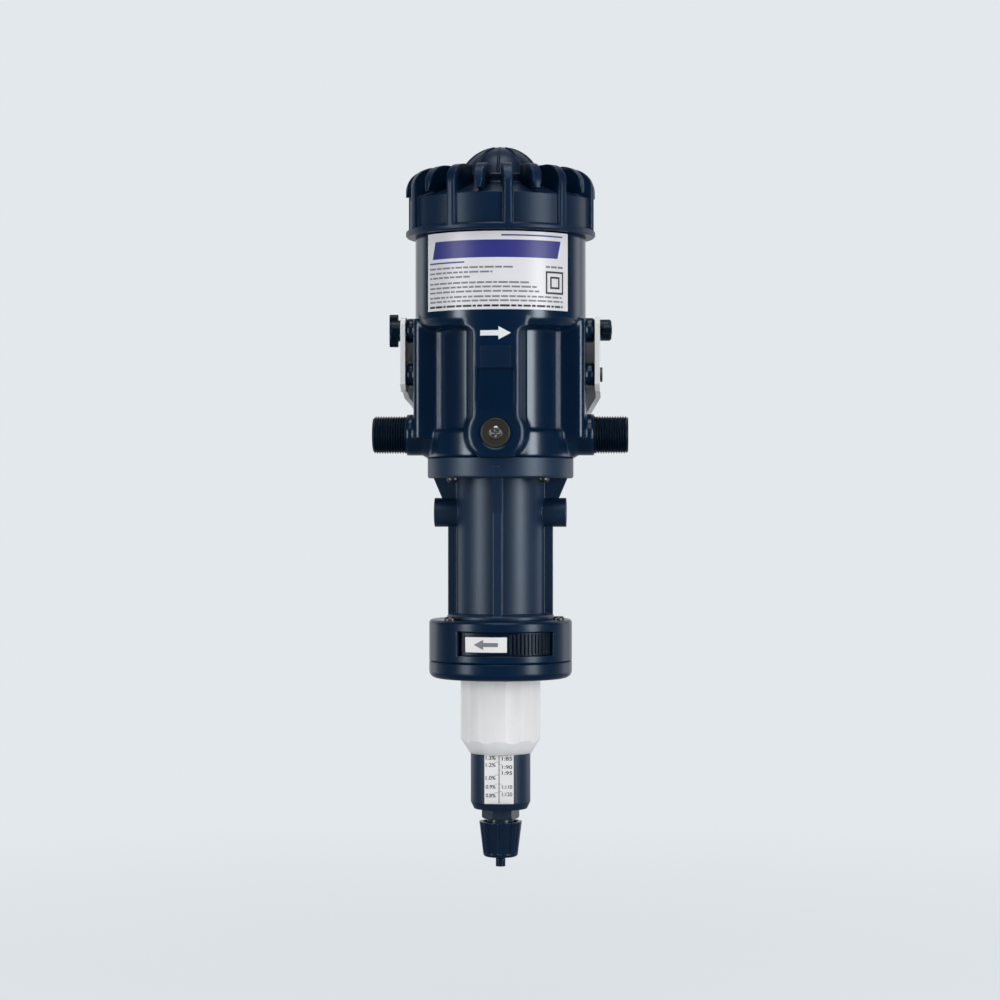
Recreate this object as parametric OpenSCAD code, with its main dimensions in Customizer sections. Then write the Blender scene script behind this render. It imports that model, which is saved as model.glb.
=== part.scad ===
// Water-driven dosing pump: a ribbed motor cover on a pocketed motor body, a dosing
// unit below it with a window and a turning nut, and a sleeve with a suction valve.
// Origin on the pump axis at the lower end of the hose barb, +Z up, front at -Y.

/* [Suction end] */
// Radius of the hose barb's tip
barb_radius = 3.4; // [2.8:0.1:3.8]
// Length of the tip that a hose slides on first
barb_tip = 5.5; // [4:0.5:6]
// Radius of the barb's neck
barb_neck_radius = 2.6; // [2.3:0.1:2.7]
// Radius of the way through the barb
barb_bore_radius = 1.5; // [1:0.1:1.8]
// Height of the hose nut's lower edge
hose_nut_lift = 7; // [6.5:0.1:8]
// Height of the hose nut
hose_nut_height = 24.7; // [22:0.1:25]
// Radius of the hose nut's open upper edge
hose_nut_top_radius = 15; // [14:0.1:17]
// Radius of the hose nut's lower edge
hose_nut_foot_radius = 12.3; // [11.8:0.1:13.5]
// Rounding of the hose nut's lower edge
hose_nut_edge = 2.2; // [1:0.1:2.6]
// Number of flutes round the hose nut
hose_nut_flutes = 12; // [8:1:16]
// Radius of the valve seat's threaded neck
neck_radius = 9.8; // [9:0.1:10]
// Height of the hexagon's lower face
hex_lift = 33.8; // [33:0.1:36]
// Height of the hexagon
hex_height = 7.2; // [6:0.1:9]
// Radius of the hexagon across its corners
hex_radius = 13.25; // [12:0.25:15]
// Turn of the hexagon about the pump axis
hex_turn = 8.4; // [0:0.1:30]

/* [Dosing sleeve] */
// Outer radius of the dosing sleeve
sleeve_radius = 21; // [20.5:0.1:22]
// Bore radius of the dosing sleeve
sleeve_bore_radius = 16; // [15.4:0.1:16.5]
// Visible length of the sleeve below the adjusting nut
sleeve_show = 39; // [37:0.5:44]
// Height of the chamfer at the sleeve's foot
sleeve_foot_chamfer = 4.8; // [2:0.1:5]
// Radius that the sleeve's foot chamfers down to
sleeve_foot_radius = 18.7; // [18:0.1:20]
// Thickness of the sleeve's floor
sleeve_floor = 8; // [7:0.5:9]
// Width of the scale strip on the sleeve's front flat
scale_width = 20.5; // [14:0.5:22]
// Thickness of the scale strip
scale_thickness = 0.5; // [0.3:0.1:0.6]
// How far the sleeve can rise from its place in the picture
sleeve_rise = 30; // [10:1:32]

/* [Adjusting nut] */
// Radius over the nut's lobes
nut_radius = 28; // [26:0.1:29.5]
// Visible height of the nut below the housing
nut_show = 53; // [50:0.5:60]
// Height of the chamfer at the nut's foot
nut_chamfer = 10; // [8:0.5:12]
// Number of lobes round the nut
nut_lobes = 9; // [7:1:12]
// Depth of the flutes between the lobes
flute_depth = 1.2; // [0.6:0.1:1.6]
// Half the angle of one flute
flute_half_angle = 11.5; // [8:0.5:13]
// Gap between the nut's toothed flange and the lock slider
flange_gap = 4.5; // [3.5:0.5:7]
// Thickness of the nut's toothed flange
nut_flange_height = 8; // [5:0.5:9]
// Number of notches in the flange
nut_notches = 24; // [16:1:30]

/* [Adjuster housing] */
// Outer radius of the housing
housing_radius = 50.2; // [49.5:0.1:54]
// Height of the housing above its cover
housing_height = 29; // [28:0.5:34]
// Wall of the housing
housing_wall = 3.7; // [3:0.1:3.9]
// Thickness of the housing's top
housing_top = 4; // [3:0.5:6]
// Height of the lower cover
base_height = 12; // [11:0.5:16]
// Rounding of the lower cover's bottom edge
base_edge = 5; // [2:0.5:6]
// Rounding of the housing's top edge
housing_edge = 2.5; // [1:0.5:3]
// Height of the window's lower edge above the cover
window_lift = 5.4; // [5:0.1:6]
// Height of the window
window_height = 16.4; // [15:0.1:18]
// Left end of the window, as an angle from the front
window_left = -33.5; // [-36:0.5:-30]
// Right end of the window, as an angle from the front
window_right = 49.5; // [49:0.5:52]
// Depth of the lock slider's face below the housing's outside
slider_sunk = 1.7; // [1.2:0.1:2.2]
// Angle where the plate ends and the thumb pad starts
slider_split = 9.2; // [5:0.1:12]
// Right end of the thumb pad
slider_right = 47.7; // [45:0.1:48]
// Number of ridges on the thumb pad
pad_ridges = 12; // [8:1:14]
// Angle through which the slider unlocks
lock_travel = 5; // [3:0.5:6]

/* [Injector body] */
// Outer radius of the injector tube
injector_radius = 31; // [29:0.5:33]
// Height of the injector body below its flange
injector_height = 99; // [95:1:110]
// Reach of the four upright ribs
rib_reach = 36.9; // [35:0.1:38]
// Width of the four upright ribs
rib_width = 6; // [4:0.5:8]
// Reach of the gussets under the flange
gusset_reach = 47.5; // [44:0.5:48]
// Height of the gussets
gusset_height = 24; // [18:0.5:28]
// Gap between the injector's foot ring and the heads of the housing screws
foot_ring_gap = 2.4; // [1.6:0.1:3]
// Height of the injector's foot ring
foot_ring_height = 3.4; // [2:0.2:5]
// Radius of the side bosses
side_boss_radius = 10.2; // [8:0.1:11]
// Reach of the side bosses
side_boss_reach = 46.3; // [42:0.1:48]
// Radius of the flange
flange_radius = 51.3; // [50.5:0.1:53]
// Thickness of the flange
flange_height = 14; // [12:0.5:16]

/* [Motor body] */
// Radius of the band above the flange
band_radius = 50.4; // [50:0.1:52]
// Height of the band
band_height = 19; // [17:0.5:20]
// Radius of the recessed core
core_radius = 46.5; // [45:0.1:48]
// Height of the recessed core up to the barrel
core_height = 70; // [68:1:76]
// Outer radius of the barrel
barrel_radius = 59.9; // [59:0.1:62]
// Height of the barrel below the cover
barrel_height = 66; // [64:1:72]
// Rounding of the barrel's lower edge
barrel_edge = 8; // [5:0.5:9]
// Height of the threaded neck that the cover screws on
neck_height = 22; // [20:0.5:22]
// Step from the barrel in to the threaded neck
neck_step = 2.4; // [2:0.1:3]
// Radius of the lower cylinder
small_bore_radius = 36; // [34:0.1:37]
// Wall of the neck round the liner
neck_wall = 3; // [2.5:0.1:3.5]
// Wall of the liner
liner_wall = 2.5; // [2:0.1:3]
// Thickness of the body's floor
floor_height = 9; // [8:0.5:10]
// Half the width of the front panel
panel_half_width = 14.5; // [12:0.5:16]
// Half the width of the front panel where it meets the core
panel_root_half_width = 21; // [18:0.5:24]
// Radius of the round boss between the ports
round_boss_radius = 18.6; // [16:0.1:20]
// Radius of the front plug
plug_radius = 10.1; // [8:0.1:12]
// Rise of the side pads beyond the barrel
pad_rise = 0.1; // [0.1:0.1:2]
// Half the width of the side pads
pad_half_width = 22.5; // [19:0.5:24]
// Rounding of the side pads' upright edges
pad_edge = 5.4; // [3:0.1:6]
// Rise of the bosses that carry the bracket beyond the barrel
boss_rise = 6.6; // [5.5:0.1:8]
// Radius of the bosses that carry the bracket
boss_radius = 8.7; // [7:0.1:9]

/* [Ports] */
// Radius of the male three-quarter-inch thread
port_radius = 13.22; // [13.1:0.01:13.3]
// Length of the threaded part of the nipples
port_length = 24.1; // [21:0.1:28]
// Radius of the way through the nipples
port_bore_radius = 9.5; // [8:0.1:10]
// Height of the port axis above the body's lower face
port_lift = 16.5; // [15.5:0.1:18]
// Radius of the collars round the nipples
collar_radius = 14.5; // [14.2:0.1:15.4]
// Rise of the collars beyond the barrel
collar_rise = 5.8; // [3:0.1:8]
// Radius of the nipple's spigot inside the collar
spigot_radius = 11.5; // [11:0.1:12]

/* [Motor cover] */
// Rise of the lip beyond the skirt
lip_rise = 3.2; // [2:0.1:5]
// Height of the lip
lip_height = 4.5; // [3:0.5:6]
// Wall of the cover's skirt round the neck
cover_wall = 5.9; // [5:0.1:7]
// Height of the skirt up to the shoulder
skirt_height = 25.5; // [25:0.5:28]
// Rise of the shoulder
shoulder_rise = 9.5; // [8:0.5:12]
// Radius of the stepped ring
step_radius = 39; // [37:0.5:41]
// Height of the stepped ring
step_height = 6.5; // [5:0.5:8]
// Radius of the dome
dome_radius = 30.3; // [29:0.1:31]
// Thickness of the dome
dome_wall = 5.3; // [4:0.1:6]
// Number of ribs round the cover
cover_ribs = 20; // [12:2:24]
// Width of the cover's ribs
cover_rib_width = 6.5; // [4:0.5:7]
// Rise of the ribs' top above the stepped ring
cover_rib_rise = 5; // [3:0.5:7]
// Rounding of the ribs' outer corner
cover_rib_corner = 15; // [8:0.5:16]
// Turn of the first long rib from the front
cover_rib_turn = 7.9; // [0:0.1:18]
// Number of fins on the dome
dome_fins = 10; // [6:1:12]
// Radius of the vent screw's head
vent_radius = 5; // [4:0.5:6]

/* [Wall bracket] */
// Thickness of the bracket's sheet
sheet = 3.5; // [2.5:0.1:3.7]
// Height of the bracket's arms at their front edge
arm_height = 52; // [50:1:56]
// Distance from the axis to the front edge of the arms
arm_front = 10; // [9.5:0.5:14]
// Length of the straight part of the arms behind the axis
arm_straight = 20; // [18:1:24]
// Distance from the axis to the wall
wall_distance = 73; // [71:0.5:80]
// Half the width of the flat back plate
back_half_width = 50; // [46:0.5:51]
// Inner radius of the bracket's bends
bend_radius = 5; // [3:0.5:6]
// Depth of the back plate below the arms
back_drop = 18; // [10:1:22]
// Spacing of the wall holes from side to side
wall_hole_width = 80; // [60:1:84]
// Spacing of the wall holes from top to bottom
wall_hole_height = 36; // [30:1:38]
// Radius of the wall holes
wall_hole_radius = 3.25; // [2.5:0.05:4]

/* [Wing screws] */
// Radius of the wing screws' shank
wing_shank_radius = 3; // [2.5:0.1:3.5]
// Span of the wings
wing_span = 23; // [20:0.5:26]
// Thickness of the wings
wing_thickness = 6; // [4:0.5:7]
// Radius of the wing screws' hub
wing_hub_radius = 7.5; // [6:0.1:8]
// Thickness of the wing screws' hub
wing_hub_height = 7.7; // [6:0.1:8]

/* [Motor piston] */
// Stroke of the motor piston
stroke = 40; // [20:1:40]
// Thickness of the piston's deck
deck_height = 12; // [10:0.5:13]
// Wall of the piston's skirt
skirt_wall = 5; // [4:0.1:5.5]
// Radius of the trip rod
trip_radius = 3; // [2.5:0.1:3.5]
// Shift of the valve plate between its two places
valve_shift = 4; // [2:0.1:4.2]
// Distance from the axis to the toggle pivots
toggle_pivot = 15; // [14.5:0.1:15.5]
// Radius of the plunger rod
plunger_rod_radius = 6; // [5:0.1:7]
// Length of the plunger's head
plunger_head_height = 20; // [14:1:24]

/* [Fits] */
// Radial clearance of a running fit
running_gap = 0.05; // [0.02:0.01:0.08]
// Distance between two moving faces that pass each other
free_gap = 0.3; // [0.3:0.05:0.4]

/* [Hidden] */
$fn = 96;
eps = 0.01;
past = 1;

// Heights of the stacked pieces, from the barb upward
hex_top = hex_lift + hex_height;
sleeve_foot = hex_top;
nut_foot = sleeve_foot + sleeve_show;
base_foot = nut_foot + nut_show;
split_z = base_foot + base_height;
housing_top_z = split_z + housing_height;
flange_z = housing_top_z + injector_height;
parting_z = flange_z + flange_height;
core_z = parting_z + band_height;
barrel_z = core_z + core_height;
cover_z = barrel_z + barrel_height;
neck_top_z = cover_z + neck_height;
shoulder_z = cover_z + skirt_height;
step_z = shoulder_z + shoulder_rise;
step_top_z = step_z + step_height;
port_z = parting_z + port_lift;

// Motor body
neck_outer_radius = barrel_radius - neck_step;
large_bore_radius = neck_outer_radius - neck_wall - liner_wall;
pad_reach = barrel_radius + pad_rise;
boss_reach = barrel_radius + boss_rise;
skirt_radius = neck_outer_radius + cover_wall;
lip_radius = skirt_radius + lip_rise;
collar_reach = barrel_radius + collar_rise;
port_reach = collar_reach + port_length;
collar_root = core_radius - 2;
collar_flare = 3.5;
sink = 6;
body_pocket_floor = core_z - sink;
panel_fillet = 8;
panel_edge = 2.2;
panel_step = 1.2;
panel_step_drop = 28.4;
panel_step_z = barrel_z - panel_step_drop;
boss_draft = 4;
pad_root = core_radius - 3 * sink;
boss_chamfer = 1.6;
boss_hole_depth = 14;
shank_depth = 12;
bead_radius = 1.2;
bead_x = sqrt(pow(core_radius, 2) - pow(pad_half_width, 2)) + bead_radius / 2;
boss_spacing = 31.2;
upper_boss_z = barrel_z + past;
lower_boss_z = upper_boss_z - boss_spacing;
plug_depth = 3;
plug_screw_radius = 4.8;
plug_shank_radius = 2.5;
plug_shank_length = 9;
plug_sunk = 1.4;
plug_crown = 1.2;
plug_slot = 5.2;
small_screw_radius = 2.5;
liner_lift = 10;
liner_foot_z = barrel_z + liner_lift;
liner_outer_radius = large_bore_radius + liner_wall;
floor_z = parting_z + floor_height;
flange_screw_circle = 44.5;
flange_screw_depth = 13;
flange_screw_head = 4;
flange_head_height = 3;
dish_depth = 1.2;
dish_rim = 3;
seal_radius = 1;
flange_seal_radius = 39;
spigot_root = 50;

// Motor cover
cover_bore_radius = neck_outer_radius + eps;
dome_z = step_top_z - 8.5;
dome_apex = dome_z + dome_radius;
cover_ceiling_z = step_top_z - 4.5;
cover_inner_radius = large_bore_radius;
ceiling_radius = step_radius - 8;
shoulder_inner_radius = step_radius - 5.5;
rib_root = step_radius + 1;
rib_top_z = step_top_z + cover_rib_rise;
short_rib_z = shoulder_z + 2.5;
rib_point = 6;
rib_blunt = 1.4;
rib_side_edge = 2;
fin_width = 1.2;
fin_proud = 0.9;
fin_inner = 7;
vent_head = 1.8;
vent_shank_radius = 3;
cover_seal_radius = (liner_outer_radius + neck_outer_radius) / 2;

// Bracket
bracket_inner = boss_reach;
bracket_outer = bracket_inner + sheet;
bend_outer = bend_radius + sheet;
arm_rise = 9;
arm_top_z = upper_boss_z + arm_rise;
arm_low_z = arm_top_z - arm_height;
back_low_z = arm_low_z - back_drop;
back_inner_y = wall_distance - sheet;
corner_radius = 5;
arm_hole_radius = wing_shank_radius + free_gap;
arm_holes = [[upper_boss_z, arm_hole_radius], [lower_boss_z, small_screw_radius + free_gap]];
arch_radius = 66;
arch_rise = 6;
bracket_head_radius = 5.1;
bracket_head_height = 1.7;
wing_lift = 2;
wing_edge = 1.2;
wall_hole_z = (arm_top_z + back_low_z) / 2;

// Suction valve
valve_well_radius = 6.5;
valve_way_radius = 3;
valve_seat_z = hex_top;
poppet_radius = 5;
poppet_height = 1.7;
poppet_stem_radius = 1.5;
poppet_stem_past = 1;
valve_lift = 2.5;
valve_spring_radius = 3.4;
cage_height = 1.5;
spigot_top_z = sleeve_foot + sleeve_floor + 3;
cage_z = spigot_top_z - cage_height;
poppet_z = valve_seat_z + free_gap;
barb_top_z = 24;
neck_foot_z = 12;
thread_top_z = 27;
cup_inner_radius = 12.5;
hose_hole_radius = 5.2;
hose_flute_radius = 2.4;
hose_flute_offset = 1.6;
hose_nut_lean = atan((hose_nut_top_radius - hose_nut_foot_radius) / (hose_nut_height - hose_nut_edge));

// Motor piston and valve gear, at the lower end of the stroke
deck_radius = large_bore_radius - running_gap;
skirt_outer = small_bore_radius - running_gap;
skirt_inner = skirt_outer - skirt_wall;
deck_lift = 14;
deck_z = barrel_z + deck_lift;
deck_top_z = deck_z + deck_height;
skirt_z = port_z + port_bore_radius + 1;
web_z = skirt_z + 1;
web_height = 6;
web_hub_radius = 9;
web_arm_width = 6;
ring_height = 4;
ring_depth = 2;
hub_radius = 7;
valve_port_circle = 24.5;
valve_port_radius = 4;
pad_radius = 4.4;
pad_thickness = 1.5;
plate_z = deck_top_z + free_gap + pad_thickness;
plate_thickness = 3;
plate_ring_inner = 20;
plate_ring_outer = 29.4;
plate_hub_radius = 9.2;
plate_hub_height = 8;
hub_height = plate_hub_height + valve_shift + 6;
hub_top_z = deck_top_z + hub_height;
lever_arm = 10.5;
lever_thickness = 2;
lever_width = 2.4;
lever_slot = 4.2;
pin_radius = 1;
pin_boss_radius = 2.5;
pin_boss_width = 4.4;
post_thickness = 2.6;
post_width = 4.6;
pin_half = pin_boss_width / 2 + free_gap + post_thickness;
collar_thickness = 2.4;
lever_z = hub_top_z + valve_shift + free_gap + collar_thickness + lever_slot / 2;
collar_disc_radius = 7;
finger_x = toggle_pivot + lever_arm;
finger_half = 2;
finger_width = 6.4;
finger_window = 3.2;
trip_foot_z = deck_z - 8;
trip_top_z = dome_z + dome_radius - dome_wall - free_gap - stroke;
plunger_clear = 2.5;
plunger_groove_lift = 6;
plunger_nut_height = 3;
plunger_foot_z = spigot_top_z + poppet_stem_past + valve_lift + sleeve_rise + plunger_clear;
plunger_head_radius = sleeve_bore_radius - running_gap;
plunger_top_z = web_z + web_height + plunger_nut_height;
plunger_nut_radius = 8;

// Dosing sleeve and its surroundings
sleeve_length = 159;
flat_length = 83.2;
sleeve_top_z = sleeve_foot + sleeve_length;
flat_foot_z = sleeve_foot + sleeve_foot_chamfer;
sleeve_groove_drop = 8;
sleeve_groove_depth = 1.6;
sleeve_groove_height = 2.4;
flat_y = sqrt(pow(sleeve_radius, 2) - pow(scale_width / 2, 2)) - scale_thickness;
injector_bore_radius = sleeve_radius + running_gap;
injector_spigot_z = housing_top_z - housing_top - 3;
nut_flange_z = split_z + 3;
nut_neck_top_z = nut_flange_z + nut_flange_height;
nut_bore_radius = sleeve_radius + running_gap;
nut_foot_radius = nut_bore_radius + 0.6;
flute_radius = (pow(nut_radius * sin(flute_half_angle), 2)
    + pow(nut_radius * (1 - cos(flute_half_angle)) - flute_depth, 2))
    / (2 * (flute_depth - nut_radius * (1 - cos(flute_half_angle))));
notch_radius = 1.6;
cavity_radius = housing_radius - housing_wall;
rail_wall = 4;
slider_rail_radius = cavity_radius - running_gap;
slider_inner_radius = cavity_radius - rail_wall;
slider_radius = housing_radius - slider_sunk;
nut_flange_radius = slider_inner_radius - flange_gap;
slider_margin = 2;
slider_tail = 5.4;
slider_clear = 1.1;
slider_left = window_left + lock_travel + slider_clear;
pawl_half_angle = 2.5;
pawl_inset = 2;
window_foot = split_z + window_lift;
plate_recess = 1;
plate_sunk = 0.2;
plate_lift = 2.3;
plate_height = 10.6;
plate_margin = 0.5;
ridge_inset = 1;
ridge_height = 0.9;
ridge_width = 1.1;
housing_screw_edge = 6.2;
housing_screw_circle = housing_radius - housing_screw_edge;
housing_screw_head = 4;
foot_ring_radius = housing_screw_circle - housing_screw_head - foot_ring_gap;
housing_head_height = 2.6;
housing_screw_radius = 2;
housing_screw_reach = 6;
housing_boss_radius = 4.2;
housing_screw_turn = [-49.6, 70.4, 190.4];
spring_wire = 0.5;
spring_coil = 2.2;
spring_turns = 3;
coil_steps = 18;
coil_sides = 8;

// Colours
navy = "#13253B";
dark_navy = "#0B1422";
grained_navy = "#1B2C42";
steel = "#C9CBCE";
white = "#DADADA";
rubber = "#17181A";
bronze = "#9B7B45";

// Turns its child from the front to an angle about the pump axis
module at(angle) {
    rotate([0, 0, angle]) children();
}

// Lays its child's +Z along -Y
module facing_front() {
    rotate([90, 0, 0]) children();
}

// Draws its child on the +X side and again on the -X side
module both_sides() {
    children();
    mirror([1, 0, 0]) children();
}

// A tube or ring
module ring(outer, inner, height) {
    difference() {
        cylinder(r = outer, h = height);
        translate([0, 0, -past]) cylinder(r = inner, h = height + 2 * past);
    }
}

// A sector of a ring between two angles from the front
module sector(outer, inner, height, from, to) {
    rotate([0, 0, from - 90])
        rotate_extrude(angle = to - from)
            translate([inner, 0]) square([outer - inner, height]);
}

// A ring of round section
module oring(radius, section) {
    rotate_extrude() translate([radius, 0]) circle(r = section);
}

// A flat profile, given as radius and height, turned upright on the front side
module radial_web(width) {
    rotate([90, 0, -90])
        translate([0, 0, -width / 2])
            linear_extrude(width) children();
}

// A point on a helix, with its section's point at an angle round the wire
function coil_point(radius, wire, pitch, turn, around) = [
    (radius + wire * cos(around)) * cos(turn),
    (radius + wire * cos(around)) * sin(turn),
    pitch * turn / 360 + wire * sin(around)
];

// A coil of round wire, swept along a helix about +Z
module coil(radius, wire, pitch, turns) {
    steps = coil_steps * turns;
    points = [for (i = [0 : steps], j = [0 : coil_sides - 1])
        coil_point(radius, wire, pitch, i * 360 / coil_steps, -j * 360 / coil_sides)];
    sides = [for (i = [0 : steps - 1], j = [0 : coil_sides - 1]) [
        i * coil_sides + j, i * coil_sides + (j + 1) % coil_sides,
        (i + 1) * coil_sides + (j + 1) % coil_sides, (i + 1) * coil_sides + j
    ]];
    start = [for (j = [coil_sides - 1 : -1 : 0]) j];
    end = [for (j = [0 : coil_sides - 1]) steps * coil_sides + j];
    polyhedron(points = points, faces = concat(sides, [start, end]));
}

// Motor cover: a turned shell with radial ribs round its shoulder
module motor_cover() {
    color(navy) difference() {
        union() {
            rotate_extrude() cover_outline();
            for (i = [0 : cover_ribs - 1]) {
                at(cover_rib_turn + i * 360 / cover_ribs) cover_rib(i % 2 == 0);
            }
            for (i = [0 : dome_fins - 1]) {
                at(i * 360 / dome_fins) dome_fin();
            }
        }
        rotate_extrude() cover_cavity();
        translate([0, 0, neck_top_z]) oring(cover_seal_radius, seal_radius + eps);
        translate([0, 0, dome_apex - vent_head]) cylinder(r = vent_radius + eps, h = 2 * vent_head);
        translate([0, 0, dome_apex - 2 * dome_wall]) cylinder(r = vent_shank_radius, h = 2 * dome_wall);
    }
}

module cover_outline() {
    polygon([
        [0, cover_z], [lip_radius - 1, cover_z], [lip_radius, cover_z + 1],
        [lip_radius, cover_z + lip_height - 1], [lip_radius - 1, cover_z + lip_height],
        [skirt_radius, cover_z + lip_height], [skirt_radius, shoulder_z],
        [step_radius + 0.5, step_z], [step_radius, step_z + 0.5],
        [step_radius, step_top_z - 1], [step_radius - 1, step_top_z], [0, step_top_z]
    ]);
    intersection() {
        translate([0, dome_z]) circle(r = dome_radius);
        translate([0, step_top_z - past]) square([dome_radius, dome_radius]);
    }
}

module cover_cavity() {
    polygon([
        [0, cover_z - past], [cover_bore_radius, cover_z - past],
        [cover_bore_radius, neck_top_z], [cover_inner_radius, neck_top_z],
        [cover_inner_radius, neck_top_z + 2], [shoulder_inner_radius, step_z - 2.5],
        [ceiling_radius, cover_ceiling_z], [0, cover_ceiling_z]
    ]);
    intersection() {
        translate([0, dome_z]) circle(r = dome_radius - dome_wall);
        translate([0, cover_ceiling_z - past]) square([dome_radius, dome_radius]);
    }
}

// Outline of a rib: radius across, height up
module rib_profile() {
    corner_r = lip_radius - cover_rib_corner;
    corner_z = rib_top_z - cover_rib_corner;
    polygon([
        [rib_root, step_z - 2], [rib_root, rib_top_z], [corner_r, rib_top_z],
        [lip_radius, corner_z], [lip_radius, cover_z + lip_height - 1],
        [skirt_radius - 2, cover_z + lip_height - 1], [skirt_radius - 2, shoulder_z - 1]
    ]);
    translate([corner_r, corner_z]) circle(r = cover_rib_corner);
}

// Plan of a rib: a bar with a round inner end and rounded outer edges
module rib_plan() {
    half = cover_rib_width / 2;
    translate([-half, -lip_radius + rib_side_edge])
        square([cover_rib_width, lip_radius - rib_root - half - rib_side_edge]);
    translate([0, -rib_root - half]) circle(r = half);
    translate([-half + rib_side_edge, -lip_radius])
        square([cover_rib_width - 2 * rib_side_edge, 2 * rib_side_edge]);
    for (side = [-1, 1]) {
        translate([side * (half - rib_side_edge), -lip_radius + rib_side_edge]) circle(r = rib_side_edge);
    }
}

module cover_rib(long) {
    foot = long ? cover_z + lip_height - past : short_rib_z;
    intersection() {
        radial_web(cover_rib_width) rib_profile();
        translate([0, 0, foot]) linear_extrude(rib_top_z - foot + past) rib_plan();
        if (!long) {
            facing_front() linear_extrude(lip_radius + past) polygon([
                [rib_blunt, short_rib_z], [cover_rib_width / 2, short_rib_z + rib_point],
                [cover_rib_width / 2, rib_top_z + past], [-cover_rib_width / 2, rib_top_z + past],
                [-cover_rib_width / 2, short_rib_z + rib_point], [-rib_blunt, short_rib_z]
            ]);
        }
    }
}

module dome_fin() {
    radial_web(fin_width) difference() {
        intersection() {
            translate([0, dome_z]) circle(r = dome_radius + fin_proud);
            translate([fin_inner, step_top_z - past]) square([dome_radius, dome_radius]);
        }
        translate([0, dome_z]) circle(r = dome_radius - 2);
    }
}

module vent_screw() {
    color(dark_navy) difference() {
        union() {
            translate([0, 0, dome_apex - vent_head]) cylinder(r = vent_radius, h = vent_head);
            translate([0, 0, dome_apex - dome_wall]) cylinder(r = vent_shank_radius, h = dome_wall);
        }
        translate([-vent_radius, -0.6, dome_apex - 0.8]) cube([2 * vent_radius, 1.2, past + 0.8]);
    }
}

module cover_seal() {
    color(rubber) translate([0, 0, neck_top_z]) oring(cover_seal_radius, seal_radius);
}

// Motor body: barrel, recessed core, panels, pads, bosses and port collars
module motor_body() {
    color(navy) difference() {
        union() {
            rotate_extrude() body_outline();
            body_panel();
            mirror([0, 1, 0]) body_panel();
            round_boss();
            both_sides() side_pad();
            both_sides() port_collar();
            for (z = [upper_boss_z, lower_boss_z]) {
                both_sides() bracket_boss(z);
            }
        }
        rotate_extrude() body_cavity();
        translate([0, 0, flange_z]) cylinder(r = collar_reach, h = flange_height);
        both_sides() translate([0, 0, port_z]) rotate([0, 90, 0]) {
            cylinder(r = port_bore_radius, h = spigot_root);
            translate([0, 0, spigot_root]) cylinder(r = spigot_radius + eps, h = port_reach);
        }
        both_sides() translate([boss_reach - boss_hole_depth, 0, upper_boss_z]) rotate([0, 90, 0])
            cylinder(r = wing_shank_radius + running_gap, h = boss_hole_depth + past);
        both_sides() translate([boss_reach - boss_hole_depth, 0, lower_boss_z]) rotate([0, 90, 0])
            cylinder(r = small_screw_radius, h = boss_hole_depth + past);
        for (i = [0 : 3]) {
            at(45 + i * 90) translate([0, -flange_screw_circle, parting_z - past])
                cylinder(r = small_screw_radius, h = flange_screw_depth + past);
        }
        translate([0, 0, port_z]) facing_front() {
            translate([0, 0, barrel_radius - plug_depth])
                cylinder(r = plug_radius + eps, h = 2 * plug_depth);
            translate([0, 0, barrel_radius - plug_depth - plug_shank_length])
                cylinder(r = plug_shank_radius, h = plug_shank_length + past);
        }
        translate([0, 0, neck_top_z]) oring(cover_seal_radius, seal_radius + eps);
        translate([0, 0, parting_z]) oring(flange_seal_radius, seal_radius + eps);
        panel_recess();
    }
}

module body_outline() {
    polygon([
        [0, parting_z], [band_radius, parting_z], [band_radius, core_z - 0.8],
        [band_radius - 0.8, core_z], [core_radius, core_z], [core_radius, barrel_z],
        [barrel_radius - barrel_edge, barrel_z], [barrel_radius, barrel_z + barrel_edge],
        [barrel_radius, cover_z], [neck_outer_radius, cover_z],
        [neck_outer_radius, neck_top_z], [0, neck_top_z]
    ]);
    translate([barrel_radius - barrel_edge, barrel_z + barrel_edge]) circle(r = barrel_edge);
}

module body_cavity() {
    polygon([
        [0, parting_z - past], [plunger_rod_radius + running_gap, parting_z - past],
        [plunger_rod_radius + running_gap, floor_z], [small_bore_radius, floor_z],
        [small_bore_radius, liner_foot_z], [liner_outer_radius + eps, liner_foot_z],
        [liner_outer_radius + eps, neck_top_z + past], [0, neck_top_z + past]
    ]);
}

// Front panel: a drafted upright bar flush with the barrel, flared at its top
module body_panel() {
    intersection() {
        cylinder(r = barrel_radius, h = barrel_z + barrel_edge);
        union() {
            translate([0, 0, port_z]) linear_extrude(barrel_z + barrel_edge - port_z) polygon([
                [-panel_root_half_width, 2 - core_radius], [-panel_half_width, -barrel_radius - past],
                [panel_half_width, -barrel_radius - past], [panel_root_half_width, 2 - core_radius]
            ]);
            both_sides() facing_front() translate([0, 0, core_radius - sink]) linear_extrude(barrel_radius)
                difference() {
                    translate([panel_half_width - 1, barrel_z - panel_fillet])
                        square([panel_fillet + 1, panel_fillet + barrel_edge]);
                    translate([panel_half_width + panel_fillet, barrel_z - panel_fillet])
                        circle(r = panel_fillet);
                }
        }
    }
}

// Shallow step in the panel's lower half
module panel_recess() {
    half = panel_half_width - panel_edge;
    foot = port_z + round_boss_radius + panel_edge;
    difference() {
        translate([-half, -barrel_radius - past, foot]) cube([2 * half, sink, panel_step_z - foot]);
        cylinder(r = barrel_radius - panel_step, h = 2 * barrel_z);
    }
}

// Round boss between the ports, tapered and flush with the panel
module round_boss() {
    intersection() {
        translate([0, 0, parting_z]) cylinder(r = barrel_radius, h = core_height);
        translate([0, 0, port_z]) facing_front() translate([0, 0, core_radius - sink])
            cylinder(r1 = round_boss_radius + boss_draft, r2 = round_boss_radius,
                h = barrel_radius - core_radius + sink + past);
    }
}

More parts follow.
